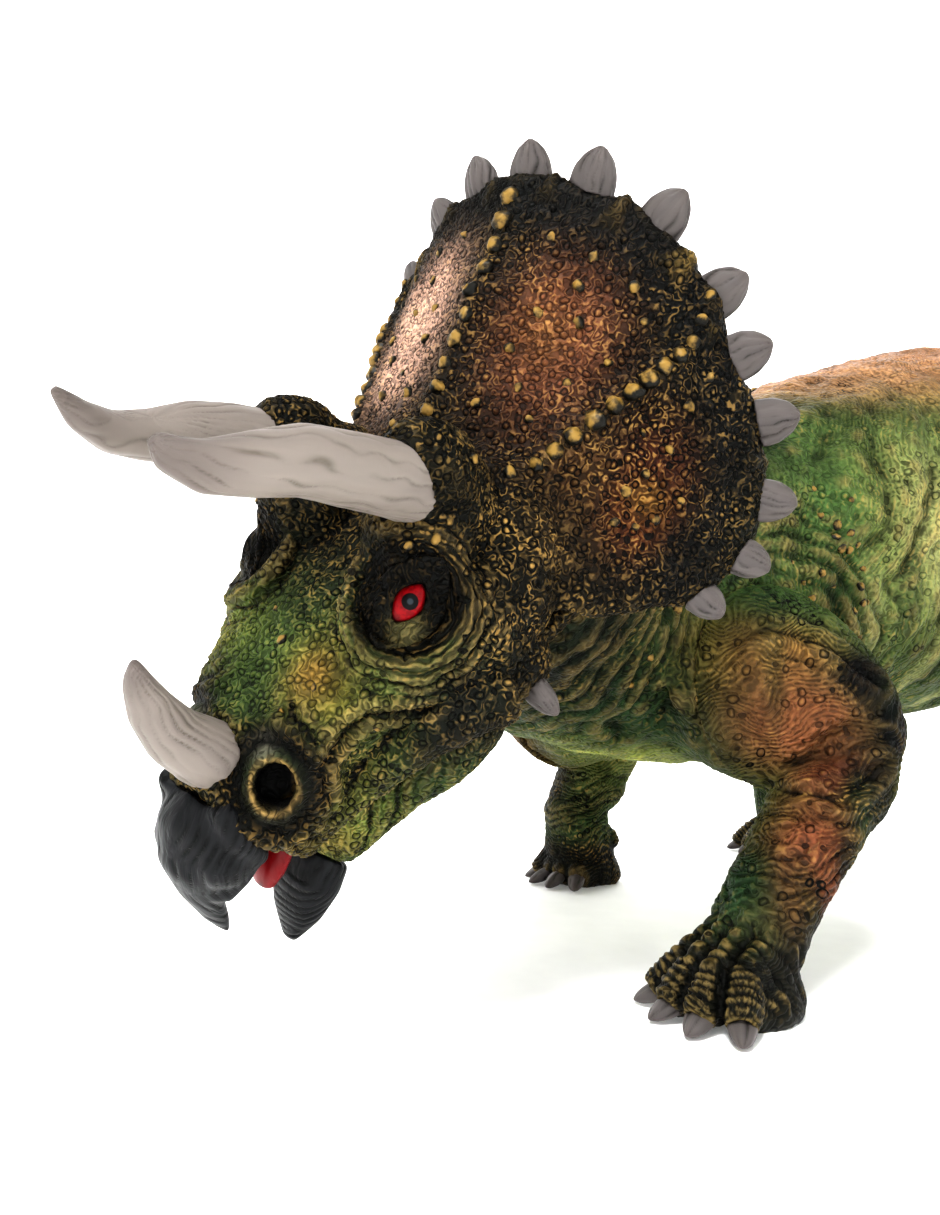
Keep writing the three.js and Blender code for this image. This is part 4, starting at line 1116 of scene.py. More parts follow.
def paint_head(skin, crest):
    places = skin.places
    down, left, out = places.T
    wide = np.abs(left)
    even = folded(places)
    colour = spotted(even, "#1c1d15", HEAD_SPRAYS)
    front = step_up(out + 0.35 * wide, -22, -14)
    near_half = step_up(left, -2, 2)
    pink = near(even, (-27, 19, -7), (19, 12, 16)) * front
    nostril = nostril_reach(even)
    mouth, _ = line_reach(even, MOUTH_CREASE)
    lip, _ = line_reach(even, LIP_CREASE)
    rim, away, edge = frill_rim(skin)
    rear_face = step_down(out + 0.35 * wide, -30, -20) * step_down(down, 0, 20)
    colour = tinted(
        colour,
        # Lit and shaded copies of one paint on the frill's patch: darker pink on the near half, and a pale
        # pink on the far half that is a painted sheen of light.
        ("#7d4c31", 1.3 * pink * near_half),
        ("#e3b69d", 1.5 * pink * (1 - near_half)),
        ("#80582a", 0.5 * near(even, (-28, 17, -6), (9, 7, 12)) * front * near_half),
        ("#8d6420", 0.7 * near(places, (56, 11.5, 15.7), (7, 6, 6))),
        ("#12130e", 1.1 * hump(nostril, 7.6, 3.0)),
        ("#b3ad96", 0.35 * near(even, (71, 10, 20), (2.5, 2.2, 2.5))),
        ("#0c0d0b", 0.95 * hump(mouth, 0, 1.5)),
        ("#0c0d0b", 0.8 * hump(lip, 0, 1.4)),
        ("#141617", 0.9 * edge * front),
        ("#2e3a24", 0.8 * rear_face))
    colour = aged(colour, crest, 0.95, 0.4 * step_up(nostril, 8, 12) * (1 - 0.8 * edge))
    for side in (1, -1):
        distance, rear = orbit_fields(places, side)
        socket = step_down(distance, 11.0 - 1.5 * rear, 14.0 - 2.5 * rear)
        colour = tinted(colour, ("#050504", 0.95 * socket * (left * side > 0)))
    gilt = rim * step_up(away, 7.5, 9.5) * hump(out + 0.4 * wide, -3, 5)
    return tinted(
        colour,
        ("#a8894a", 0.7 * hump(nostril, 4.3, 0.3)),
        ("#010101", step_down(nostril, 3.7, 4.0)),
        ("#9b7f38", 0.8 * gilt))


# Where the head takes more or less gold: the amount, the middle and the radii, on the left half.
HEAD_GILD = [
    (0.35, (20, 30, 0), (22, 14, 20)),
    (0.3, (36, 34, -4), (14, 8, 12)),
    (-0.35, (58, 7, 18), (13, 14, 12)),
    (-0.45, (50, 31, -5), (10, 7, 7)),
    (0.2, (-5, 40, -20), (25, 14, 14)),
]


def head_touch(skin, crest):
    """How much wash, gold and bump each place of the head takes."""
    even = folded(skin.places)
    wash = np.full(len(even), 0.95)
    wash -= 0.25 * near(even, (57, 14, 14), (15, 17, 13))
    wash -= 0.3 * near(even, (-28, 18, -6), (18, 12, 16))
    gild = np.full(len(even), 0.5)
    for amount, centre, radii in HEAD_GILD:
        gild += amount * near(even, centre, radii)
    gild -= 0.45 * step_down(even[:, 0], -56, -42)
    distance = np.minimum(orbit_fields(skin.places, 1)[0], orbit_fields(skin.places, -1)[0])
    gild *= 1 - 0.55 * step_down(distance, 10, 13)
    bump = step_up(distance, 5.0, 6.5)
    gild *= bump
    nostril = nostril_reach(even)
    gild *= step_up(nostril, 6.5, 9.5)
    bump *= 0.3 + 0.7 * step_up(nostril, 5.5, 8.5)
    wash += 0.3 * step_down(crest, -1.0, -0.3)
    return wash, gild, bump


class DINO_OT_head(bpy.types.Operator):
    """Sculpts and paints the head and frill"""
    bl_idname = "dino.head"
    bl_label = "Head"

    def execute(self, context):
        skin = Skin("head", head_forms(), millimetres("head_voxel"), HEAD)
        skin.relax(16)
        sculpt_head(skin)
        skin.relax(1)
        crest = normed(skin.crests(6))
        places = skin.places
        touch = head_touch(skin, crest)
        relief = 0.55 * touch[2]
        first, second = (orbit_fields(places, side) for side in (1, -1))
        distance = np.minimum(first[0], second[0])
        around = np.where(first[0] < second[0], first[1], second[1])
        even = folded(places)
        follow = hump(distance, 11, 6.0) * (0.45 + 0.55 * around)
        frill = step_down(even[:, 0], -12, 4)
        share = 0.7 + 0.4 * near(even, (-28, 18, -6), (26, 16, 22)) - 0.5 * follow
        share -= 0.45 * step_down(even[:, 0], -56, -44) * frill
        share *= step_up(nostril_reach(even), 7, 9.5)
        piece = dressed(skin, paint_head(skin, crest), touch, relief, millimetres("head_pebble"),
                        "head", "head_vinyl", ["head_shell"], distance / EYE_WRINKLE, follow, share)
        SURFACES["head"] = BVHTree.FromObject(piece, context.evaluated_depsgraph_get())
        return {"FINISHED"}


RAY_START = 60.0
RAY_LENGTH = 120.0


def on_surface(space, place, way, tree):
    """The point of the skin met by going in along the way, from well outside, with its normal."""
    start = space.outward(place)
    way = space.turn(way)
    origin = Vector((start + RAY_START * way) * MM)
    hit, normal, _, _ = tree.ray_cast(origin, Vector(-way), RAY_LENGTH * MM)
    if hit is None:
        hit, normal, _, _ = tree.find_nearest(Vector(start * MM))
    return np.array(hit) / MM, np.array(normal)


# Nodules, horns, spikes and claws.

def nodules(name, spots, body, material):
    """One piece of domed nodules: each spot is a point, an outward way and a radius, in millimetres."""
    mesh = bpy.data.meshes.new(name)
    mesh.from_pydata([tuple(np.array(point) * MM) for point, _, _ in spots], [], [])
    store(mesh, "up", np.array([way for _, way, _ in spots]))
    store(mesh, "size", np.array([radius for _, _, radius in spots]) * MM)
    tree = cached("Domed nodules", nodule_tree)
    result = grown(name, mesh, tree, finish=material, seed=SEED, height_share=NODULE_HEIGHT_SHARE)
    for extra in ("up", "size"):
        if extra in result.attributes:
            result.attributes.remove(result.attributes[extra])
    return finished(name, result, material, body, [])


def insert_skin(name, voxel, rounds):
    """A horn, spike or claw with its facets evened out, and its own lengthwise frame."""
    skin = Skin(name, [node_form(name)], voxel)
    tip, base, radius = insert_frame(name)
    length = np.linalg.norm(tip - base)
    start = skin.world.copy()
    skin.relax(rounds)
    peg = (start - base) @ (tip - base) / length
    skin.world += 0.85 * (start - skin.world) * step_down(peg, -0.5, 1.5)[:, None]
    return skin, tip, base, radius


def streaked(skin, grain, groove, material, body, slot):
    """Finishes a moulding whose points carry its grooves and the fine streaks along it."""
    skin.normals()
    zero = np.zeros(len(groove))
    store(skin.mesh, "grain", np.stack(grain, 1))
    store(skin.mesh, "flow", np.stack([groove, zero, zero], 1))
    finished(f"{skin.name}_moulding", skin.mesh, material, body, [skin.name])


# Each kind of insert: its rounds of smoothing, how many grooves run round it, and how deep.
INSERTS = {"horn": (24, 17, 0.1), "spike": (10, 11, 0.6), "claw": (8, 6, 0.05)}


def grooved(name, kind, material, body):
    """Cuts the lengthwise grooves in a horn, spike or claw, and finishes it."""
    rounds, count, depth = INSERTS[kind]
    skin, tip, base, radius = insert_skin(name, millimetres("horn_voxel"), rounds)
    way = unit(tip - base)
    first, second = side_ways(way)
    away = skin.world - base
    lift = away @ way
    angle = np.arctan2(away @ second, away @ first)
    wobble = 0.4 * ripple(skin.world, 2.2 * radius, 2) + 0.25 * ripple(skin.world, 0.9 * radius, 6)
    groove = np.abs(np.sin(0.5 * count * angle + wobble * count / 8)) ** 0.8
    groove = 1 - (1 - groove) * (0.65 + 0.35 * np.clip(ripple(skin.world, 1.4 * radius, 5), -1, 1))
    skin.push(-depth * (1 - groove) ** 2 * step_up(lift, -0.5, 1.5))
    store(skin.mesh, "tip", np.clip(lift / np.linalg.norm(tip - base), 0, 1))
    grain = [np.cos(angle) * 2.5, np.sin(angle) * 2.5, lift * 0.06]
    streaked(skin, grain, groove, material, body, f"{kind}_vinyl")


class DINO_OT_horns(bpy.types.Operator):
    """Grooves the brow horns, the nose horn and the spikes"""
    bl_idname = "dino.horns"
    bl_label = "Horns and spikes"

    def execute(self, context):
        material = cached("Moulded grey PVC horn", horn_grey)
        for name in HORNS:
            grooved(name, "horn", material, "head")
        material = cached("Moulded grey PVC spike", spike_grey)
        for name in SPIKES + CHEEK_SPIKES:
            grooved(name, "spike", material, "head")
        return {"FINISHED"}


class DINO_OT_claws(bpy.types.Operator):
    """Finishes the sixteen claws"""
    bl_idname = "dino.claws"
    bl_label = "Claws"

    def execute(self, context):
        material = cached("Moulded grey PVC spike", spike_grey)
        for leg in LEG_JOINTS:
            for number in CLAW_NUMBERS:
                grooved(f"{leg}_claw_{number}", "claw", material, leg)
        return {"FINISHED"}


LID_SCALES = (1.15, 1.48, 1.82, 2.2)
LID_RADIUS = 0.75
LID_VOXEL = 0.3


def lid_arcs(side, tree):
    """Folds of the lids: closed almonds round the eye, laid on the skin."""
    along, across, out = eye_axes(side)
    forms = []
    for scale in LID_SCALES:
        path = []
        for turn in np.linspace(0, 2.08 * math.pi, 40):
            long_way, short_way = almond(turn, scale)
            place = sided(EYE, side) + long_way * along + short_way * across
            point, _ = on_surface(HEAD, place, out, tree)
            lift = 0.5 if scale == LID_SCALES[0] else 0.1
            path.append(point + lift * HEAD.turn(out))
        forms.append(tube(path, LID_RADIUS, 10))
    return forms


class DINO_OT_eyes(bpy.types.Operator):
    """Sets the almond eyes between their lids"""
    bl_idname = "dino.eyes"
    bl_label = "Eyes"

    def execute(self, context):
        material = cached("Lacquered acrylic eye", lacquered_eye)
        tree = SURFACES["head"]
        for side, name in ((1, "left_eye"), (-1, "right_eye")):
            along, across, out = eye_axes(side)
            skin_point, _ = on_surface(HEAD, sided(EYE, side), out, tree)
            centre = HEAD.inward(skin_point) - EYE_SUNK * out
            points, faces = ball([0, 0, 0], 1.0, rings=32)
            pinch = 1 - CORNER_PINCH * points[:, 0] ** 2
            points = points * np.array([EYE_HALF_LENGTH, EYE_HALF_HEIGHT, EYE_HALF_DEPTH])
            points[:, 1] *= pinch
            world = HEAD.outward(points @ np.array([along, across, out]) + centre)
            mesh = form_mesh(name, (world, faces))
            store(mesh, "grain", points)
            finished(f"{name}_lens", mesh, material, "head", [name])
            lids = Skin(f"{name}lids", lid_arcs(side, tree), LID_VOXEL, HEAD)
            lids.relax(6)
            # Painted highlight: a tan patch on the lids below each eye, toward the snout, where the light
            # catches the lower lid.
            low = near(lids.places, sided(EYE, side) - 5 * along - 3 * across * side, 3.2)
            colour = tinted(spotted(lids.places, "#0b0c0a", []), ("#8b8450", 0.5 * low))
            dressed(lids, colour, (0.6, 0.12, 1.0), 0.0, millimetres("head_pebble"),
                    "head", "head_vinyl", [], share=0.0)
        return {"FINISHED"}


BEAK_EDGE = [(84, 8, 22), (89, 10, 16), (92, 10, 10), (93, 9.5, 7.5)]
BEAK_EDGE_RADII = [2.6, 3.2, 2.6, 1.4]
BEAK_FLANK = [(92, 9.3, 9), (97, 7.5, 9.5), (102, 4.5, 10)]
BEAK_FLANK_RADII = [1.6, 2.6, 3.2]
BEAK_CHEEK = (94.5, 7.5, 14)
BEAK_CHEEK_RADII = (5.5, 3.9, 6.5)
STREAK_SPACING = 1.7
STREAK_DEPTH = 0.06
STREAK_LEAN = np.array([1, 0.55, 1])
STREAK_LINES = {
    "upper_beak": [(80, 0, 25), (98, 0, 25), (107, 0, 19), (112, 0, 9), (114, 0, -2)],
    "lower_beak": [(90, 0, -26), (105, 0, -26), (113, 0, -20), (117, 0, -11)],
    "tongue": [(78, 0, -1), (96, 0, -1), (106, 0, -10)],
}


class DINO_OT_beaks(bpy.types.Operator):
    """Finishes the two beaks, the tongue and the jaw's pin"""
    bl_idname = "dino.beaks"
    bl_label = "Beaks, tongue and pin"

    def execute(self, context):
        charcoal = cached("Moulded charcoal PVC beak", moulded_beak)
        red = cached("Gloss red PVC tongue", wet_tongue)
        for name, body, material, slot in (
                ("upper_beak", "head", charcoal, "beak_vinyl"),
                ("lower_beak", "jaw", charcoal, "beak_vinyl"),
                ("tongue", "jaw", red, "tongue_vinyl")):
            forms = [node_form(name)]
            if name == "upper_beak":
                for side in (1, -1):
                    forms.append(head_tube(BEAK_EDGE, BEAK_EDGE_RADII, side))
                    forms.append(head_tube(BEAK_FLANK, BEAK_FLANK_RADII, side))
                    forms.append(head_ball(BEAK_CHEEK, BEAK_CHEEK_RADII, side))
            skin = Skin(name, forms, millimetres("horn_voxel"), HEAD)
            skin.relax(22)
            down, left, _ = skin.places.T
            level = line_reach(skin.places * STREAK_LEAN, STREAK_LINES[name])[0]
            level += 0.35 * ripple(skin.places, 16, 51)
            groove = np.abs(np.sin(math.pi * level / STREAK_SPACING)) ** 0.6
            groove = 1 - (1 - groove) * np.clip(0.5 + 0.6 * ripple(skin.places, 7, 52), 0, 1)
            skin.push(-STREAK_DEPTH * (1 - groove) ** 2)
            streaked(skin, [left * 0.5, level * 1.1, down * 0.07], groove, material, body, slot)
        pin = frame["nodes"]["jaw_pin"]
        pin.data.materials.clear()
        pin.data.materials.append(cached("Drawn steel pin", drawn_steel))
        return {"FINISHED"}


# Airbrushed spots of the jaw, on the left half.
JAW_SPRAYS = [
    ("#20221c", (52, 30, -17), (12, 8, 8), 0.95),
    ("#2f3523", (62, 24, -10), (14, 8, 5), 0.8),
    ("#6c7f36", (82, 15, -12), (12, 8, 7), 0.85),
    ("#2f5530", (70, 14, -30), (20, 14, 9), 0.8),
    ("#8a7a38", (90, 12, -9), (6, 6, 5), 0.7),
]


class DINO_OT_jaw(bpy.types.Operator):
    """Sculpts and paints the lower jaw"""
    bl_idname = "dino.jaw"
    bl_label = "Lower jaw"

    def execute(self, context):
        skin = Skin("lower_jaw", jaw_forms(), millimetres("head_voxel"), HEAD)
        skin.relax(30)
        even = folded(skin.places)
        down, _, out = even.T
        level = out + 0.45 * down + 1.3 * ripple(skin.places, 16, 1)
        skin.push(0.8 * folds(level, JAW_FOLD) * near(even, (74, 18, -16), (18, 12, 14)))
        skin.relax(1)
        crest = normed(skin.crests(6))
        colour = spotted(even, "#41592c", JAW_SPRAYS)
        touch = (0.85, 0.4 + 0.2 * step_up(out, -16, -8), 1.0)
        dressed(skin, aged(colour, crest, 0.9, 0.35), touch, 0.4, millimetres("head_pebble"),
                "jaw", "jaw_vinyl", ["lower_jaw"], level / EYE_WRINKLE, 0.35, 0.55)
        return {"FINISHED"}


# The trunk, the legs and the tail.

SEATS = {
    "neck_swivel": 23.0, "tail_swivel": 16.0,
    "left_shoulder_swivel": 18.0, "right_shoulder_swivel": 18.0,
    "left_hip_swivel": 20.0, "right_hip_swivel": 20.0,
}
SEAT_SPARE = 3.0
SEAT_GUARD = 29.0
FLANK_FOLD = 21.0
HIDE_FOLD = 8.5
ROOT_FOLD = 8.0
SHIN_FOLD = 4.4
TAIL_FOLD = 5.5
SHOULDER_RADIUS = 31.0
HIP_RADIUS = 44.0
LIP_REACH = 2.5


def outward_way(joint):
    """The way from the trunk out through a joint's seat."""
    if joint in LEG_JOINTS.values():
        return np.array([0.0, 1 if joint.startswith("left") else -1, 0])
    return joint_axis(joint)


def root_radius(joint):
    """How far a leg's root reaches round its seat."""
    return SHOULDER_RADIUS if "shoulder" in joint else HIP_RADIUS


# Spots of the hide, in the figure's own space, on the left half: most airbrushed, some painted light and
# shade.
HIDE_SPRAYS_AND_PAINTED_LIGHT = [
    ("#69793a", (40, 62, 128), (52, 32, 38), 0.9),
    # Painted highlight: a pale spot high on the flank, where the light falls on its bulge.
    ("#9a9d60", (36, 70, 134), (17, 22, 26), 0.8),
    ("#3f6230", (72, 52, 120), (12, 24, 36), 0.7),
    ("#5c7038", (-60, 62, 120), (46, 36, 45), 0.7),
    ("#9aa052", (0, 25, 54), (110, 40, 13), 0.9),
    ("#33502e", (130, 34, 66), (36, 26, 12), 0.95),
    # The belly's pale paint, brightened to a strong yellow under the chest: partly paint, partly painted
    # bounce light from the white floor.
    ("#cfd860", (140, 4, 52), (34, 20, 8), 1.0),
    ("#203c24", (150, 50, 74), (28, 20, 15), 0.95),
    ("#263e1f", (150, 52, 96), (28, 30, 24), 0.95),
    ("#1c2416", (184, 60, 92), (22, 34, 32), 1.0),
    ("#5f5a29", (128, 55, 92), (14, 14, 12), 0.75),
    ("#7d5d2c", (116, 64, 88), (17, 13, 13), 0.95),
    ("#3f5c2b", (104, 58, 110), (18, 18, 12), 0.8),
    ("#8f5c35", (112, 70, 68), (19, 20, 13), 1.0),
    ("#7c452b", (108, 74, 56), (15, 14, 7), 0.9),
    # Painted shade: near-black along the back of the foreleg, the side turned from the light.
    ("#171510", (93, 74, 82), (9, 12, 8), 1.1),
    ("#171510", (85, 78, 68), (9, 16, 12), 1.1),
    ("#2a2a1c", (70, 54, 92), (9, 12, 14), 0.7),
    ("#8b5230", (120, 76, 34), (14, 16, 25), 1.05),
    # More painted shade, near-black down the back of the foreleg.
    ("#171510", (99, 77, 50), (7, 10, 10), 1.0),
    ("#171510", (109, 78, 34), (6, 8, 9), 0.95),
    ("#171510", (120, 79, 20), (6, 8, 8), 0.9),
    ("#1f1d18", (94, 80, 44), (7, 14, 16), 0.9),
    ("#2c4a2c", (134, 58, 34), (11, 16, 20), 0.95),
    ("#a5663a", (-92, 84, 140), (26, 18, 22), 0.85),
    ("#1f1d18", (-122, 84, 108), (12, 16, 14), 0.8),
    ("#8f5a30", (-116, 84, 66), (12, 14, 20), 0.7),
]


def hide_colour(world):
    """The colours of the hide, airbrushed, with painted light and shade among them, which run on from the
    trunk over the legs and the tail.
    """
    x, y, z = world.T
    even = folded(world)
    colour = spotted(even, "#3a5029", HIDE_SPRAYS_AND_PAINTED_LIGHT)
    back = step_up(z, 168, 205)
    streaks = ripple(world * np.array([1.0, 0.4, 0.25]), 16, 15)
    return tinted(
        colour,
        ("#a8754a", 0.95 * back),
        ("#be9468", 0.6 * back * near(even, (30, 40, 190), (40, 20, 20))),
        ("#26281b", 0.85 * hump(y, -3, 9) * step_up(z, 185, 222)),
        ("#233a1d", 0.6 * step_up(streaks, 0.1, 1.2) * (1 - back)),
        ("#c3c07c", 0.35 * step_down(streaks, -1.4, -0.4) * step_down(z, 60, 150) * (x < 80)))


def seat_lips(joint, radius):
    """A raised fold of hide that runs over a leg's seat, open where the leg comes down."""
    seat = joint_point(joint) - 2.2 * outward_way(joint)
    turns = np.radians(np.linspace(-20, 200, 22))
    path = [seat + radius * np.array([math.cos(t), 0, math.sin(t)]) for t in turns]
    return tube(path, 2.6 + 1.0 * np.sin(np.linspace(0, math.pi, 22)))


def leg_reach(places, joint):
    """The distance from a leg's seat, in the plane of the seat, on the leg's own side."""
    seat = joint_point(joint)
    side = (places[:, 1] * seat[1] > 0) & (np.abs(places[:, 1]) > 18)
    return np.hypot(places[:, 0] - seat[0], places[:, 2] - seat[2]), side


def sculpt_trunk(skin):
    """Folds the hide, and gives how each place's fine wrinkles flow."""
    places = skin.places
    x, y, z = places.T
    even = folded(places)
    push = np.zeros(len(places))
    wobble = ripple(places, 55, 11)
    drift = x + 0.3 * (z - 120) + 8 * wobble
    flank = near(even, (5, 60, 130), (85, 40, 60))
    push += 2.2 * folds(drift, FLANK_FOLD) * flank
    push += 0.7 * folds(drift + 2 * ripple(places, 20, 16), HIDE_FOLD) * flank
    neck = near(places, (168, 40, 92), (32, 50, 50))
    throat = x * 0.86 + y * 0.45 + 3 * ripple(places, 26, 12) - 0.25 * z
    push += 1.5 * folds(throat, HIDE_FOLD) * neck
    flow = drift * (1 - neck) + throat * neck
    for joint in LEG_JOINTS.values():
        distance, side = leg_reach(places, joint)
        radius = root_radius(joint)
        swirl = distance + 3.0 * ripple(places, 30, 13)
        rings = hump(distance, radius + 14, 13) * side
        push += 1.7 * folds(swirl - radius - 3, ROOT_FOLD) * rings
    push += 0.6 * ripple(places, 28, 14) + 0.5 * ripple(places, 11, 17)
    skin.push(push)
    return flow


TRUNK_WRINKLE = 1.9


class DINO_OT_trunk(bpy.types.Operator):
    """Sculpts and paints the trunk and neck"""
    bl_idname = "dino.trunk"
    bl_label = "Trunk"

    def execute(self, context):
        forms = [node_form("body_shell")]
        for joint, radius in SEATS.items():
            way = outward_way(joint)
            forms.append(disc(joint_point(joint) - 0.3 * way, -way, radius, SEAL_THICK))
        for joint in LEG_JOINTS.values():
            forms.append(seat_lips(joint, root_radius(joint) + LIP_REACH))
        skin = Skin("body_shell", forms, millimetres("trunk_voxel"))
        keep = np.ones(len(skin.world))
        for joint in SEATS:
            away = skin.world - joint_point(joint)
            flat = np.abs(away @ outward_way(joint))
            keep *= 1 - step_down(flat, 1, 3) * (np.linalg.norm(away, axis=1) < SEAT_GUARD)
        skin.relax(60, keep)
        flow = sculpt_trunk(skin)
        skin.relax(2)
        crest = normed(skin.crests(12))
        places = skin.places
        wash = 0.55 + 0.2 * ripple(places, 40, 21) + 0.2 * step_up(places[:, 0], 130, 185)
        gild = 0.35 + 0.25 * ripple(places, 30, 22)
        share = 0.3 + 0.2 * ripple(places, 45, 23)
        colour = aged(hide_colour(places), crest, 0.6, 0.4)
        piece = dressed(skin, colour, (wash, gild, 1.0), 0.45, millimetres("trunk_pebble"),
                        "trunk", "trunk_vinyl", ["body_shell"], flow / TRUNK_WRINKLE, 0.5, share)
        SURFACES["trunk"] = BVHTree.FromObject(piece, context.evaluated_depsgraph_get())
        return {"FINISHED"}


def leg_space(leg):
    side = 1 if leg.startswith("left") else -1
    return Space(joint_point(LEG_JOINTS[leg]), [(1, 0, 0), (0, side, 0), (0, 0, 1)])


CLAW_COVER = 0.28
TOE_RIDGE = 2.6
TOE_LENGTH = 30.0
# Where a foot begins, forward of its seat: from none of it to all of it.
FOREFOOT_START = (8, 18)
HINDFOOT_START = (-34, -24)
ELBOW_CREASE = [(22, -21), (16, -28), (8, -30), (0, -27), (-8, -22)]
SHOULDER_CREASE = [(31, 4), (24, 11), (15, 15.5), (5, 13), (-2, 8), (-11, -1)]
KNEE_CREASE = [(34, -38), (24, -46), (12, -50), (2, -48)]
THIGH_CREASE = [(44, 6), (32, 18), (16, 24), (-4, 22), (-20, 10)]
# Each crease of a leg with its depth.
FORELEG_CREASES = [(ELBOW_CREASE, 1.8), (SHOULDER_CREASE, 1.4)]
HINDLEG_CREASES = [(KNEE_CREASE, 1.8), (THIGH_CREASE, 1.4)]
# The two lobes of the elbow, with their radii.
ELBOW_LOBES = [((-13.5, 24, -12), (6.5, 7, 8)), ((-18, 25, -14), (4.5, 5, 5))]


def toe_lines(leg, space):
    """A line for each toe, from over its claw back to the ankle, with its radii, in the leg's space."""
    lines = []
    for number in CLAW_NUMBERS:
        tip, base, radius = insert_frame(f"{leg}_claw_{number}")
        tip, base = space.inward(np.array([tip, base]))
        way = unit(base - tip)
        nose = base + CLAW_COVER * (tip - base)
        ankle_out = 18 + 0.45 * (base[1] - 20)
        knuckle = base + 7 * way + np.array([0, 0, 3.4])
        ankle = np.array([base[0] - 21, ankle_out, base[2] + 14])
        line = [nose + np.array([0, 0, 0.4]), base + np.array([0, 0, 1.2]), knuckle, ankle]
        lines.append((np.array(line), [radius + 0.3, radius + 0.9, radius + 1.6, 4.5]))
    return lines


def sculpt_leg(skin, leg, toes):
    """Ridges the toes, folds and creases the leg, and gives how much each place belongs to the foot."""
    places = skin.places
    forward, out, rise = places.T
    height = -rise.min()
    fore = "fore" in leg
    lift = rise + height
    push = np.zeros(len(places))
    reaches = np.array([line_reach(places, line)[0] for line, _ in toes])
    shares = np.array([line_reach(places, line)[1] for line, _ in toes])
    order = np.sort(reaches, axis=0)
    nearest = reaches.argmin(0)
    along = TOE_LENGTH * shares[nearest, np.arange(len(places))]
    foot = step_down(lift, 17, 26) * step_up(forward, *(FOREFOOT_START if fore else HINDFOOT_START))
    wobble = 0.5 * ripple(places, 7, 31)
    top = step_up(lift, 2.0, 4.5)
    push += 0.7 * folds(along + wobble, TOE_RIDGE) * foot * top
    push -= 2.2 * hump(order[1] - order[0], 0, 1.5) * foot * step_down(order[0], 7, 10)
    shin = hump(lift, height * 0.42, height * 0.2)
    push += 0.45 * folds(lift + 0.3 * forward + 2.0 * ripple(places, 18, 32), SHIN_FOLD) * shin
    flat = np.stack([forward, rise], 1)
    outer = step_up(out, 6, 14)
    for line, depth in FORELEG_CREASES if fore else HINDLEG_CREASES:
        reach_line, _ = line_reach(flat, line)
        shifted = reach_line + 0.6 * ripple(places, 14, 34)
        push += outer * (-depth * hump(shifted, 0, 1.5) + 0.7 * hump(shifted, 3.6, 1.8)
                         - 0.6 * hump(shifted, 7.0, 1.3) + 0.4 * hump(shifted, 9.6, 1.6))
    push += 0.5 * ripple(places, 14, 33) * (1 - foot)
    seat = step_down(out, 1, 4)
    skin.push(push * (1 - seat))
    return foot


class DINO_OT_legs(bpy.types.Operator):
    """Sculpts and paints the four legs"""
    bl_idname = "dino.legs"
    bl_label = "Legs"

    def execute(self, context):
        for leg, joint in LEG_JOINTS.items():
            way = outward_way(joint)
            space = leg_space(leg)
            toes = toe_lines(leg, space)
            cutter, seal = seat_plug(joint, way, SEATS[joint] + SEAT_SPARE)
            forms = [node_form(f"{leg}_shell", [cutter]), seal]
            forms += [tube(space.outward(line), radii) for line, radii in toes]
            if "fore" in leg:
                forms += [ball(space.outward(centre), radii) for centre, radii in ELBOW_LOBES]
            skin = Skin(f"{leg}_shell", forms, millimetres("limb_voxel"), space)
            skin.world[:, 2] = np.maximum(skin.world[:, 2], 0.0)
            keep = step_up(skin.world[:, 2], 0.3, 1.0)
            keep *= 1 - step_down(skin.places[:, 1], 0.8, 1.5)
            lift = skin.world[:, 2]
            skin.relax(8, keep)
            skin.relax(22, keep * step_up(lift, 18, 30))
            foot = sculpt_leg(skin, leg, toes)
            skin.relax(1, keep)
            skin.world[:, 2] = np.maximum(skin.world[:, 2], 0.0)
            crest = normed(skin.crests(5))
            places = skin.places
            forward, out, rise = places.T
            lift = skin.world[:, 2]
            sole = 1 - step_up(lift, 0.5, 2.0)
            dark = step_down(lift, 14, 24)
            spots = near(places, (16, 30, -60), 2.0) + near(places, (6, 34, -58), 2.4)
            colour = tinted(
                hide_colour(skin.world),
                ("#1b1a15", 0.97 * dark),
                ("#11100d", 1.2 * spots * ("fore" in leg)))
            colour = aged(colour, crest, 0.85, 0.3 * (1 - foot))
            colour = tinted(colour, ("#8d7842", 0.65 * foot * step_up(crest, 0.7, 1.0)))
            relief = 0.5 * (1 - step_down(out, 1, 2)) * step_up(lift, 0.8, 2.5) * (1 - foot)
            wash = 0.75 + 0.2 * ripple(places, 25, 35) + 0.2 * foot
            gild = (0.4 + 0.3 * ripple(places, 20, 36)) * (1 - 0.9 * foot)
            gild *= 1 - 0.9 * np.clip(1.4 * near(places, (-12, 28, 0), (11, 14, 22)), 0, 1)
            touch = (wash, gild, (1 - sole) * (1 - 0.6 * foot))
            flow = (rise + 0.35 * forward + 3 * ripple(places, 20, 37)) / TRUNK_WRINKLE
            slot = "foreleg_vinyl" if "fore" in leg else "hindleg_vinyl"
            dressed(skin, colour, touch, relief, millimetres("limb_pebble"),
                    leg, slot, [f"{leg}_shell"], flow, 0.62, 0.3)
        return {"FINISHED"}


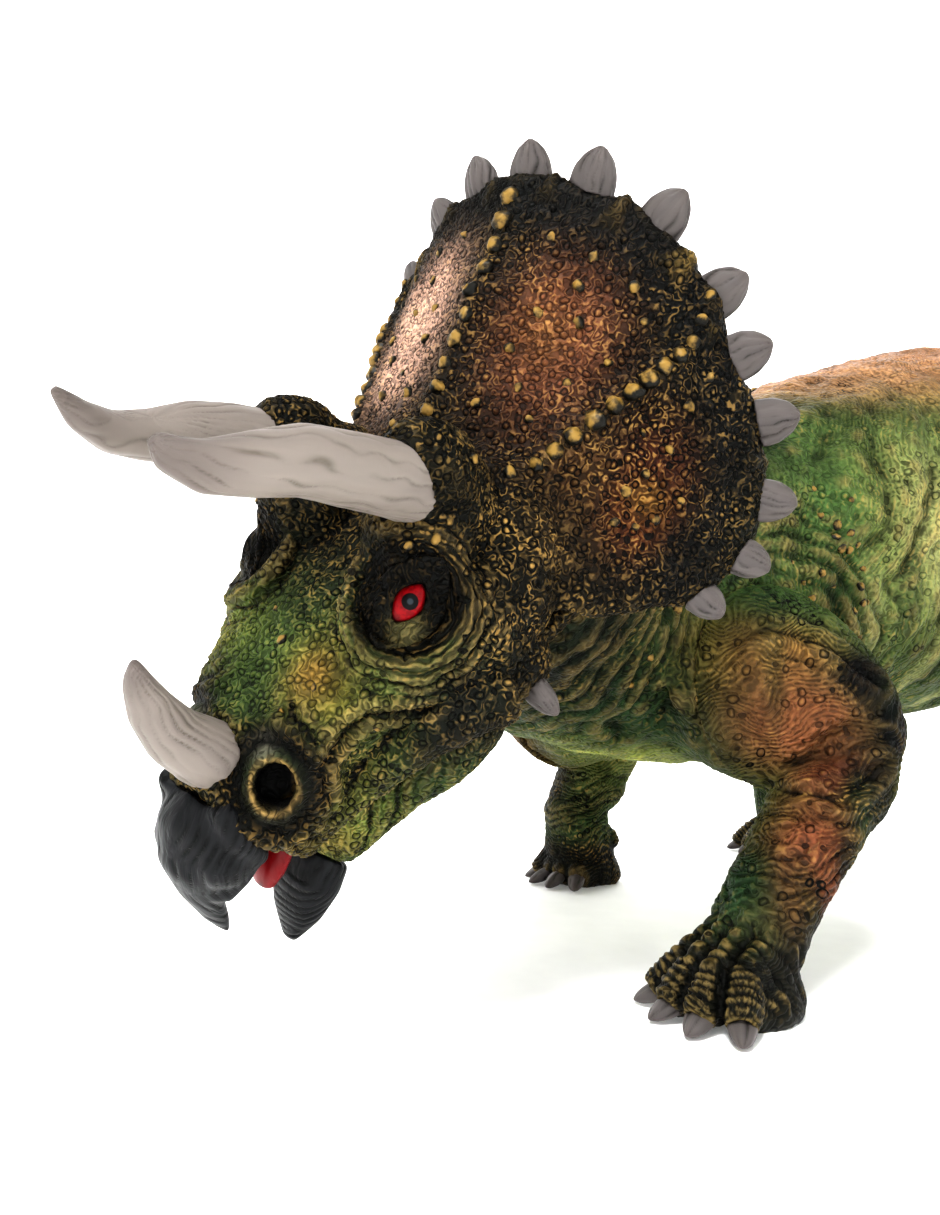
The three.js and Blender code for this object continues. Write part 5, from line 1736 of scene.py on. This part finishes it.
class DINO_OT_tail(bpy.types.Operator):
    """Sculpts and paints the tail"""
    bl_idname = "dino.tail"
    bl_label = "Tail"

    def execute(self, context):
        way = outward_way("tail_swivel")
        cutter, seal = seat_plug("tail_swivel", way, SEATS["tail_swivel"] + SEAT_SPARE)
        skin = Skin("tail_shell", [node_form("tail_shell", [cutter]), seal], millimetres("limb_voxel"))
        along = (skin.world - joint_point("tail_swivel")) @ way
        skin.relax(40, step_up(along, 0.8, 1.5))
        places = skin.places
        bend = along + 2 * ripple(places, 25, 41)
        skin.push((0.9 * folds(bend, TAIL_FOLD) + 0.4 * ripple(places, 16, 42)) * step_up(along, 1, 5))
        skin.relax(1)
        crest = normed(skin.crests(6))
        top = step_up(skin.normals()[:, 2], 0.1, 0.8)
        under = step_down(skin.normals()[:, 2], -0.9, -0.2)
        blend = step_up(along, 0, 40)
        colour = tinted(
            hide_colour(places),
            ("#6f8340", blend * (1 - top)),
            ("#b37a48", 0.95 * blend * top),
            ("#bcc768", 0.85 * under * blend),
            ("#1f2116", 0.8 * step_up(along, 84, 112)))
        touch = (0.6, 0.35 + 0.2 * ripple(places, 25, 43), 1.0)
        relief = 0.4 * step_up(along, 1, 4)
        dressed(skin, aged(colour, crest, 0.75, 0.4), touch, relief, millimetres("limb_pebble"),
                "tail", "tail_vinyl", ["tail_shell"], bend / TRUNK_WRINKLE, 0.4, 0.35)
        return {"FINISHED"}


# Places of the loose nodules on one half of the frill, down the face and to the side.
FRILL_CENTRE = [(-49, 12), (-47, 22), (-40, 21), (-32, 15), (-32, 24), (-23, 12), (-26, 32), (-15, 17),
                (-19, 26), (-9, 10), (-9, 22), (-1, 10), (-37, 36), (-43, 32)]
FRILL_SIDE = [(-15, 40), (-7, 44), (-2, 41), (4, 46), (5, 41), (-14, 47), (-24, 48), (-5, 54), (1, 50),
              (-32, 50)]
BROW_WARTS = [(24, 25, 13), (20, 26, 12.5), (27, 21, 15), (18, 29, 8)]
SNOUT_WARTS = [(52, 1, 16), (58, 13, 16), (47, -6, 14), (64, 10, 18), (61, 24, 8)]


def point_at(line, share):
    """The point that lies a share of the way through a line's points, from 0 to 1."""
    place = share * (len(line) - 1)
    index = min(int(place), len(line) - 2)
    return line[index] + (place - index) * (line[index + 1] - line[index])


class DINO_OT_nodules(bpy.types.Operator):
    """Sets the gilded nodules along the ridges of the frill, over its fields and down the spine"""
    bl_idname = "dino.nodules"
    bl_label = "Nodules"

    def execute(self, context):
        gold = cached("Gilded PVC nodule", gilded_nodule)
        chance = np.random.default_rng(SEED)
        tree = SURFACES["head"]
        spots = []

        def seat(place, way, radius):
            point, normal = on_surface(HEAD, place, way, tree)
            spots.append((point - 0.15 * radius * normal, normal, radius))

        for down, radius in zip(np.linspace(1, -56, 11), np.linspace(1.7, 2.2, 11)):
            seat((down, chance.uniform(-0.6, 0.6), 0), (0, 0, 1), radius)
        for side in (1, -1):
            line = sided(RIDGE[1:], side)
            for share in np.linspace(0, 1, 14):
                size = 1.25 + 0.95 * math.sin(math.pi * share) + chance.uniform(-0.15, 0.15)
                seat(point_at(line, share), (0, 0.4 * side, 0.92), size)
            for down, left in FRILL_CENTRE:
                seat((down, side * left, 0), (0, 0.1 * side, 0.99), chance.uniform(1.0, 1.45))
            for down, left in FRILL_SIDE:
                seat((down, side * left, -20), (0, 0.45 * side, 0.89), chance.uniform(0.8, 1.25))
            for place in BROW_WARTS:
                seat(sided(place, side), (0, 0.6 * side, 0.8), chance.uniform(0.8, 1.2))
        for place in SNOUT_WARTS:
            seat(place, (0, 0.3, 0.95), chance.uniform(0.7, 0.95))
        nodules("frill_nodules", spots, "head", gold)
        tree = SURFACES["trunk"]
        spots = []
        for forward in np.linspace(90, -165, 46):
            point, way = on_surface(WORLD, (forward, -2 + chance.uniform(-1, 1), 150), (0, 0, 1), tree)
            spots.append((point, way, chance.uniform(1.7, 2.6)))
        for side in (1, -1):
            for _ in range(70):
                place = (chance.uniform(60, 150), 0, chance.uniform(70, 150))
                point, way = on_surface(WORLD, place, (0, side, 0), tree)
                if abs(point[1]) > 30:
                    spots.append((point - 0.35 * way, way, chance.uniform(0.9, 1.6)))
        nodules("spine_nodules", spots, "trunk", gold)
        return {"FINISHED"}


# The stage.

SENSOR_WIDTH = 36.0
CLIP_START = 0.01
ROOM_LIGHT = 0.1
CAMERA_PLACE = (294.7, 213.0, 72.0)
CAMERA_FORWARD = (-0.4807, -0.8673, 0.1295)
SWEEP_RADIUS = 2.4
SWEEP_BEND = 0.9
SWEEP_HEIGHT = 3.8
SWEEP_THICK = 0.02
SWEEP_STEPS = 96
BEND_STEPS = 12
# Each soft light: its place, the place it points at, its two sides in metres, and its power.
LIGHTS = {
    "key_light": ((0.9, 0.7, 1.5), (0.1, 0.0, 0.1), (0.5, 0.5), 21),
    "fill_light": ((-0.1, 1.5, 0.7), (0.1, 0, 0.1), (0.8, 0.6), 1.5),
    "rim_light": ((-0.9, -0.7, 1.1), (0.1, 0, 0.15), (0.7, 0.7), 6),
    "backdrop_light": ((-0.4, -0.8, 2.4), (-1.3, -2.2, 1.5), (1.6, 1.2), 75),
    "floor_light": ((0, 0, 2.6), (0, 0, 0), (3, 3), 24),
}


def paper_sweep():
    """A round floor of paper that curves up all round into a wall."""
    profile = [(0.0, 0.0)]
    for step in range(BEND_STEPS + 1):
        angle = 0.5 * math.pi * step / BEND_STEPS
        inset = SWEEP_BEND * (1 - math.sin(angle))
        profile.append((SWEEP_RADIUS - inset, SWEEP_BEND * (1 - math.cos(angle))))
    profile.append((SWEEP_RADIUS, SWEEP_HEIGHT))
    outer = [(SWEEP_RADIUS + SWEEP_THICK, SWEEP_HEIGHT), (SWEEP_RADIUS + SWEEP_THICK, -SWEEP_THICK),
             (0.0, -SWEEP_THICK)]
    work = bmesh.new()
    rings = []
    for radius, height in profile + outer:
        if radius == 0:
            rings.append([work.verts.new((0, 0, height))] * SWEEP_STEPS)
            continue
        turns = [2 * math.pi * step / SWEEP_STEPS for step in range(SWEEP_STEPS)]
        rings.append([work.verts.new((radius * math.cos(t), radius * math.sin(t), height)) for t in turns])
    for low, high in zip(rings[:-1], rings[1:]):
        for step in range(SWEEP_STEPS):
            after = (step + 1) % SWEEP_STEPS
            corners = [low[step], low[after], high[after], high[step]]
            work.faces.new(list(dict.fromkeys(corners)))
    bmesh.ops.recalc_face_normals(work, faces=work.faces)
    mesh = bpy.data.meshes.new("paper_sweep")
    work.to_mesh(mesh)
    work.free()
    mesh.polygons.foreach_set("use_smooth", np.ones(len(mesh.polygons), bool))
    mesh.materials.append(paper("Seamless paper"))
    return placed("paper_sweep", mesh)


def soft_light(name, place, target, size, power):
    light = bpy.data.lights.new(name, "AREA")
    light.shape = "RECTANGLE"
    light.size, light.size_y = size
    light.energy = power
    item = placed(name, light)
    item.location = place
    item.rotation_euler = (Vector(target) - Vector(place)).to_track_quat("-Z", "Y").to_euler()
    return item


class DINO_OT_stage(bpy.types.Operator):
    """Sets the camera, the paper floor and the soft lights"""
    bl_idname = "dino.stage"
    bl_label = "Stage"

    def execute(self, context):
        scene = context.scene
        camera = bpy.data.cameras.new("studio_camera")
        camera.lens = scene.dino_stage.lens
        camera.sensor_width = SENSOR_WIDTH
        camera.clip_start = CLIP_START
        item = placed("studio_camera", camera)
        item.location = Vector(CAMERA_PLACE) * MM
        item.rotation_euler = Vector(CAMERA_FORWARD).to_track_quat("-Z", "Y").to_euler()
        scene.camera = item
        sweep = paper_sweep()
        world = bpy.data.worlds.new("studio")
        scene.world = world
        world.use_nodes = True
        background = world.node_tree.nodes["Background"]
        background.inputs["Color"].default_value = (1, 1, 1, 1)
        background.inputs["Strength"].default_value = ROOM_LIGHT
        lights = {name: soft_light(name, *values) for name, values in LIGHTS.items()}
        only_paper = bpy.data.collections.new("paper only")
        only_paper.objects.link(sweep)
        lights["floor_light"].light_linking.receiver_collection = only_paper
        lights["floor_light"].light_linking.blocker_collection = only_paper
        scene.view_settings.view_transform = "Standard"
        scene.view_settings.look = "High Contrast"
        return {"FINISHED"}


class DINO_PT_panel(bpy.types.Panel):
    bl_label = "Dinosaur"
    bl_idname = "DINO_PT_panel"
    bl_space_type = "VIEW_3D"
    bl_region_type = "UI"
    bl_category = "Dinosaur"

    def draw(self, context):
        for operator in OPERATORS:
            self.layout.operator(operator.bl_idname)
        for group in (context.scene.dino_paint, context.scene.dino_sizes, context.scene.dino_stage):
            for name in group.__annotations__:
                self.layout.prop(group, name)


OPERATORS = (
    DINO_OT_stage, DINO_OT_head, DINO_OT_jaw, DINO_OT_trunk, DINO_OT_legs, DINO_OT_tail,
    DINO_OT_horns, DINO_OT_claws, DINO_OT_eyes, DINO_OT_beaks, DINO_OT_nodules,
)
GROUPS = {"dino_paint": DINO_PG_paint, "dino_sizes": DINO_PG_sizes, "dino_stage": DINO_PG_stage}


def register():
    for group in GROUPS.values():
        bpy.utils.register_class(group)
    for name, group in GROUPS.items():
        setattr(bpy.types.Scene, name, PointerProperty(type=group))
    for item in (*OPERATORS, DINO_PT_panel):
        bpy.utils.register_class(item)


def unregister():
    for item in (DINO_PT_panel, *reversed(OPERATORS)):
        bpy.utils.unregister_class(item)
    for name, group in GROUPS.items():
        delattr(bpy.types.Scene, name)
        bpy.utils.unregister_class(group)


def main():
    register()
    for operator in OPERATORS:
        space, name = operator.bl_idname.split(".")
        if getattr(getattr(bpy.ops, space), name)() != {"FINISHED"}:
            raise RuntimeError(f"{operator.bl_label} did not finish")


if __name__ == "__main__":
    main()
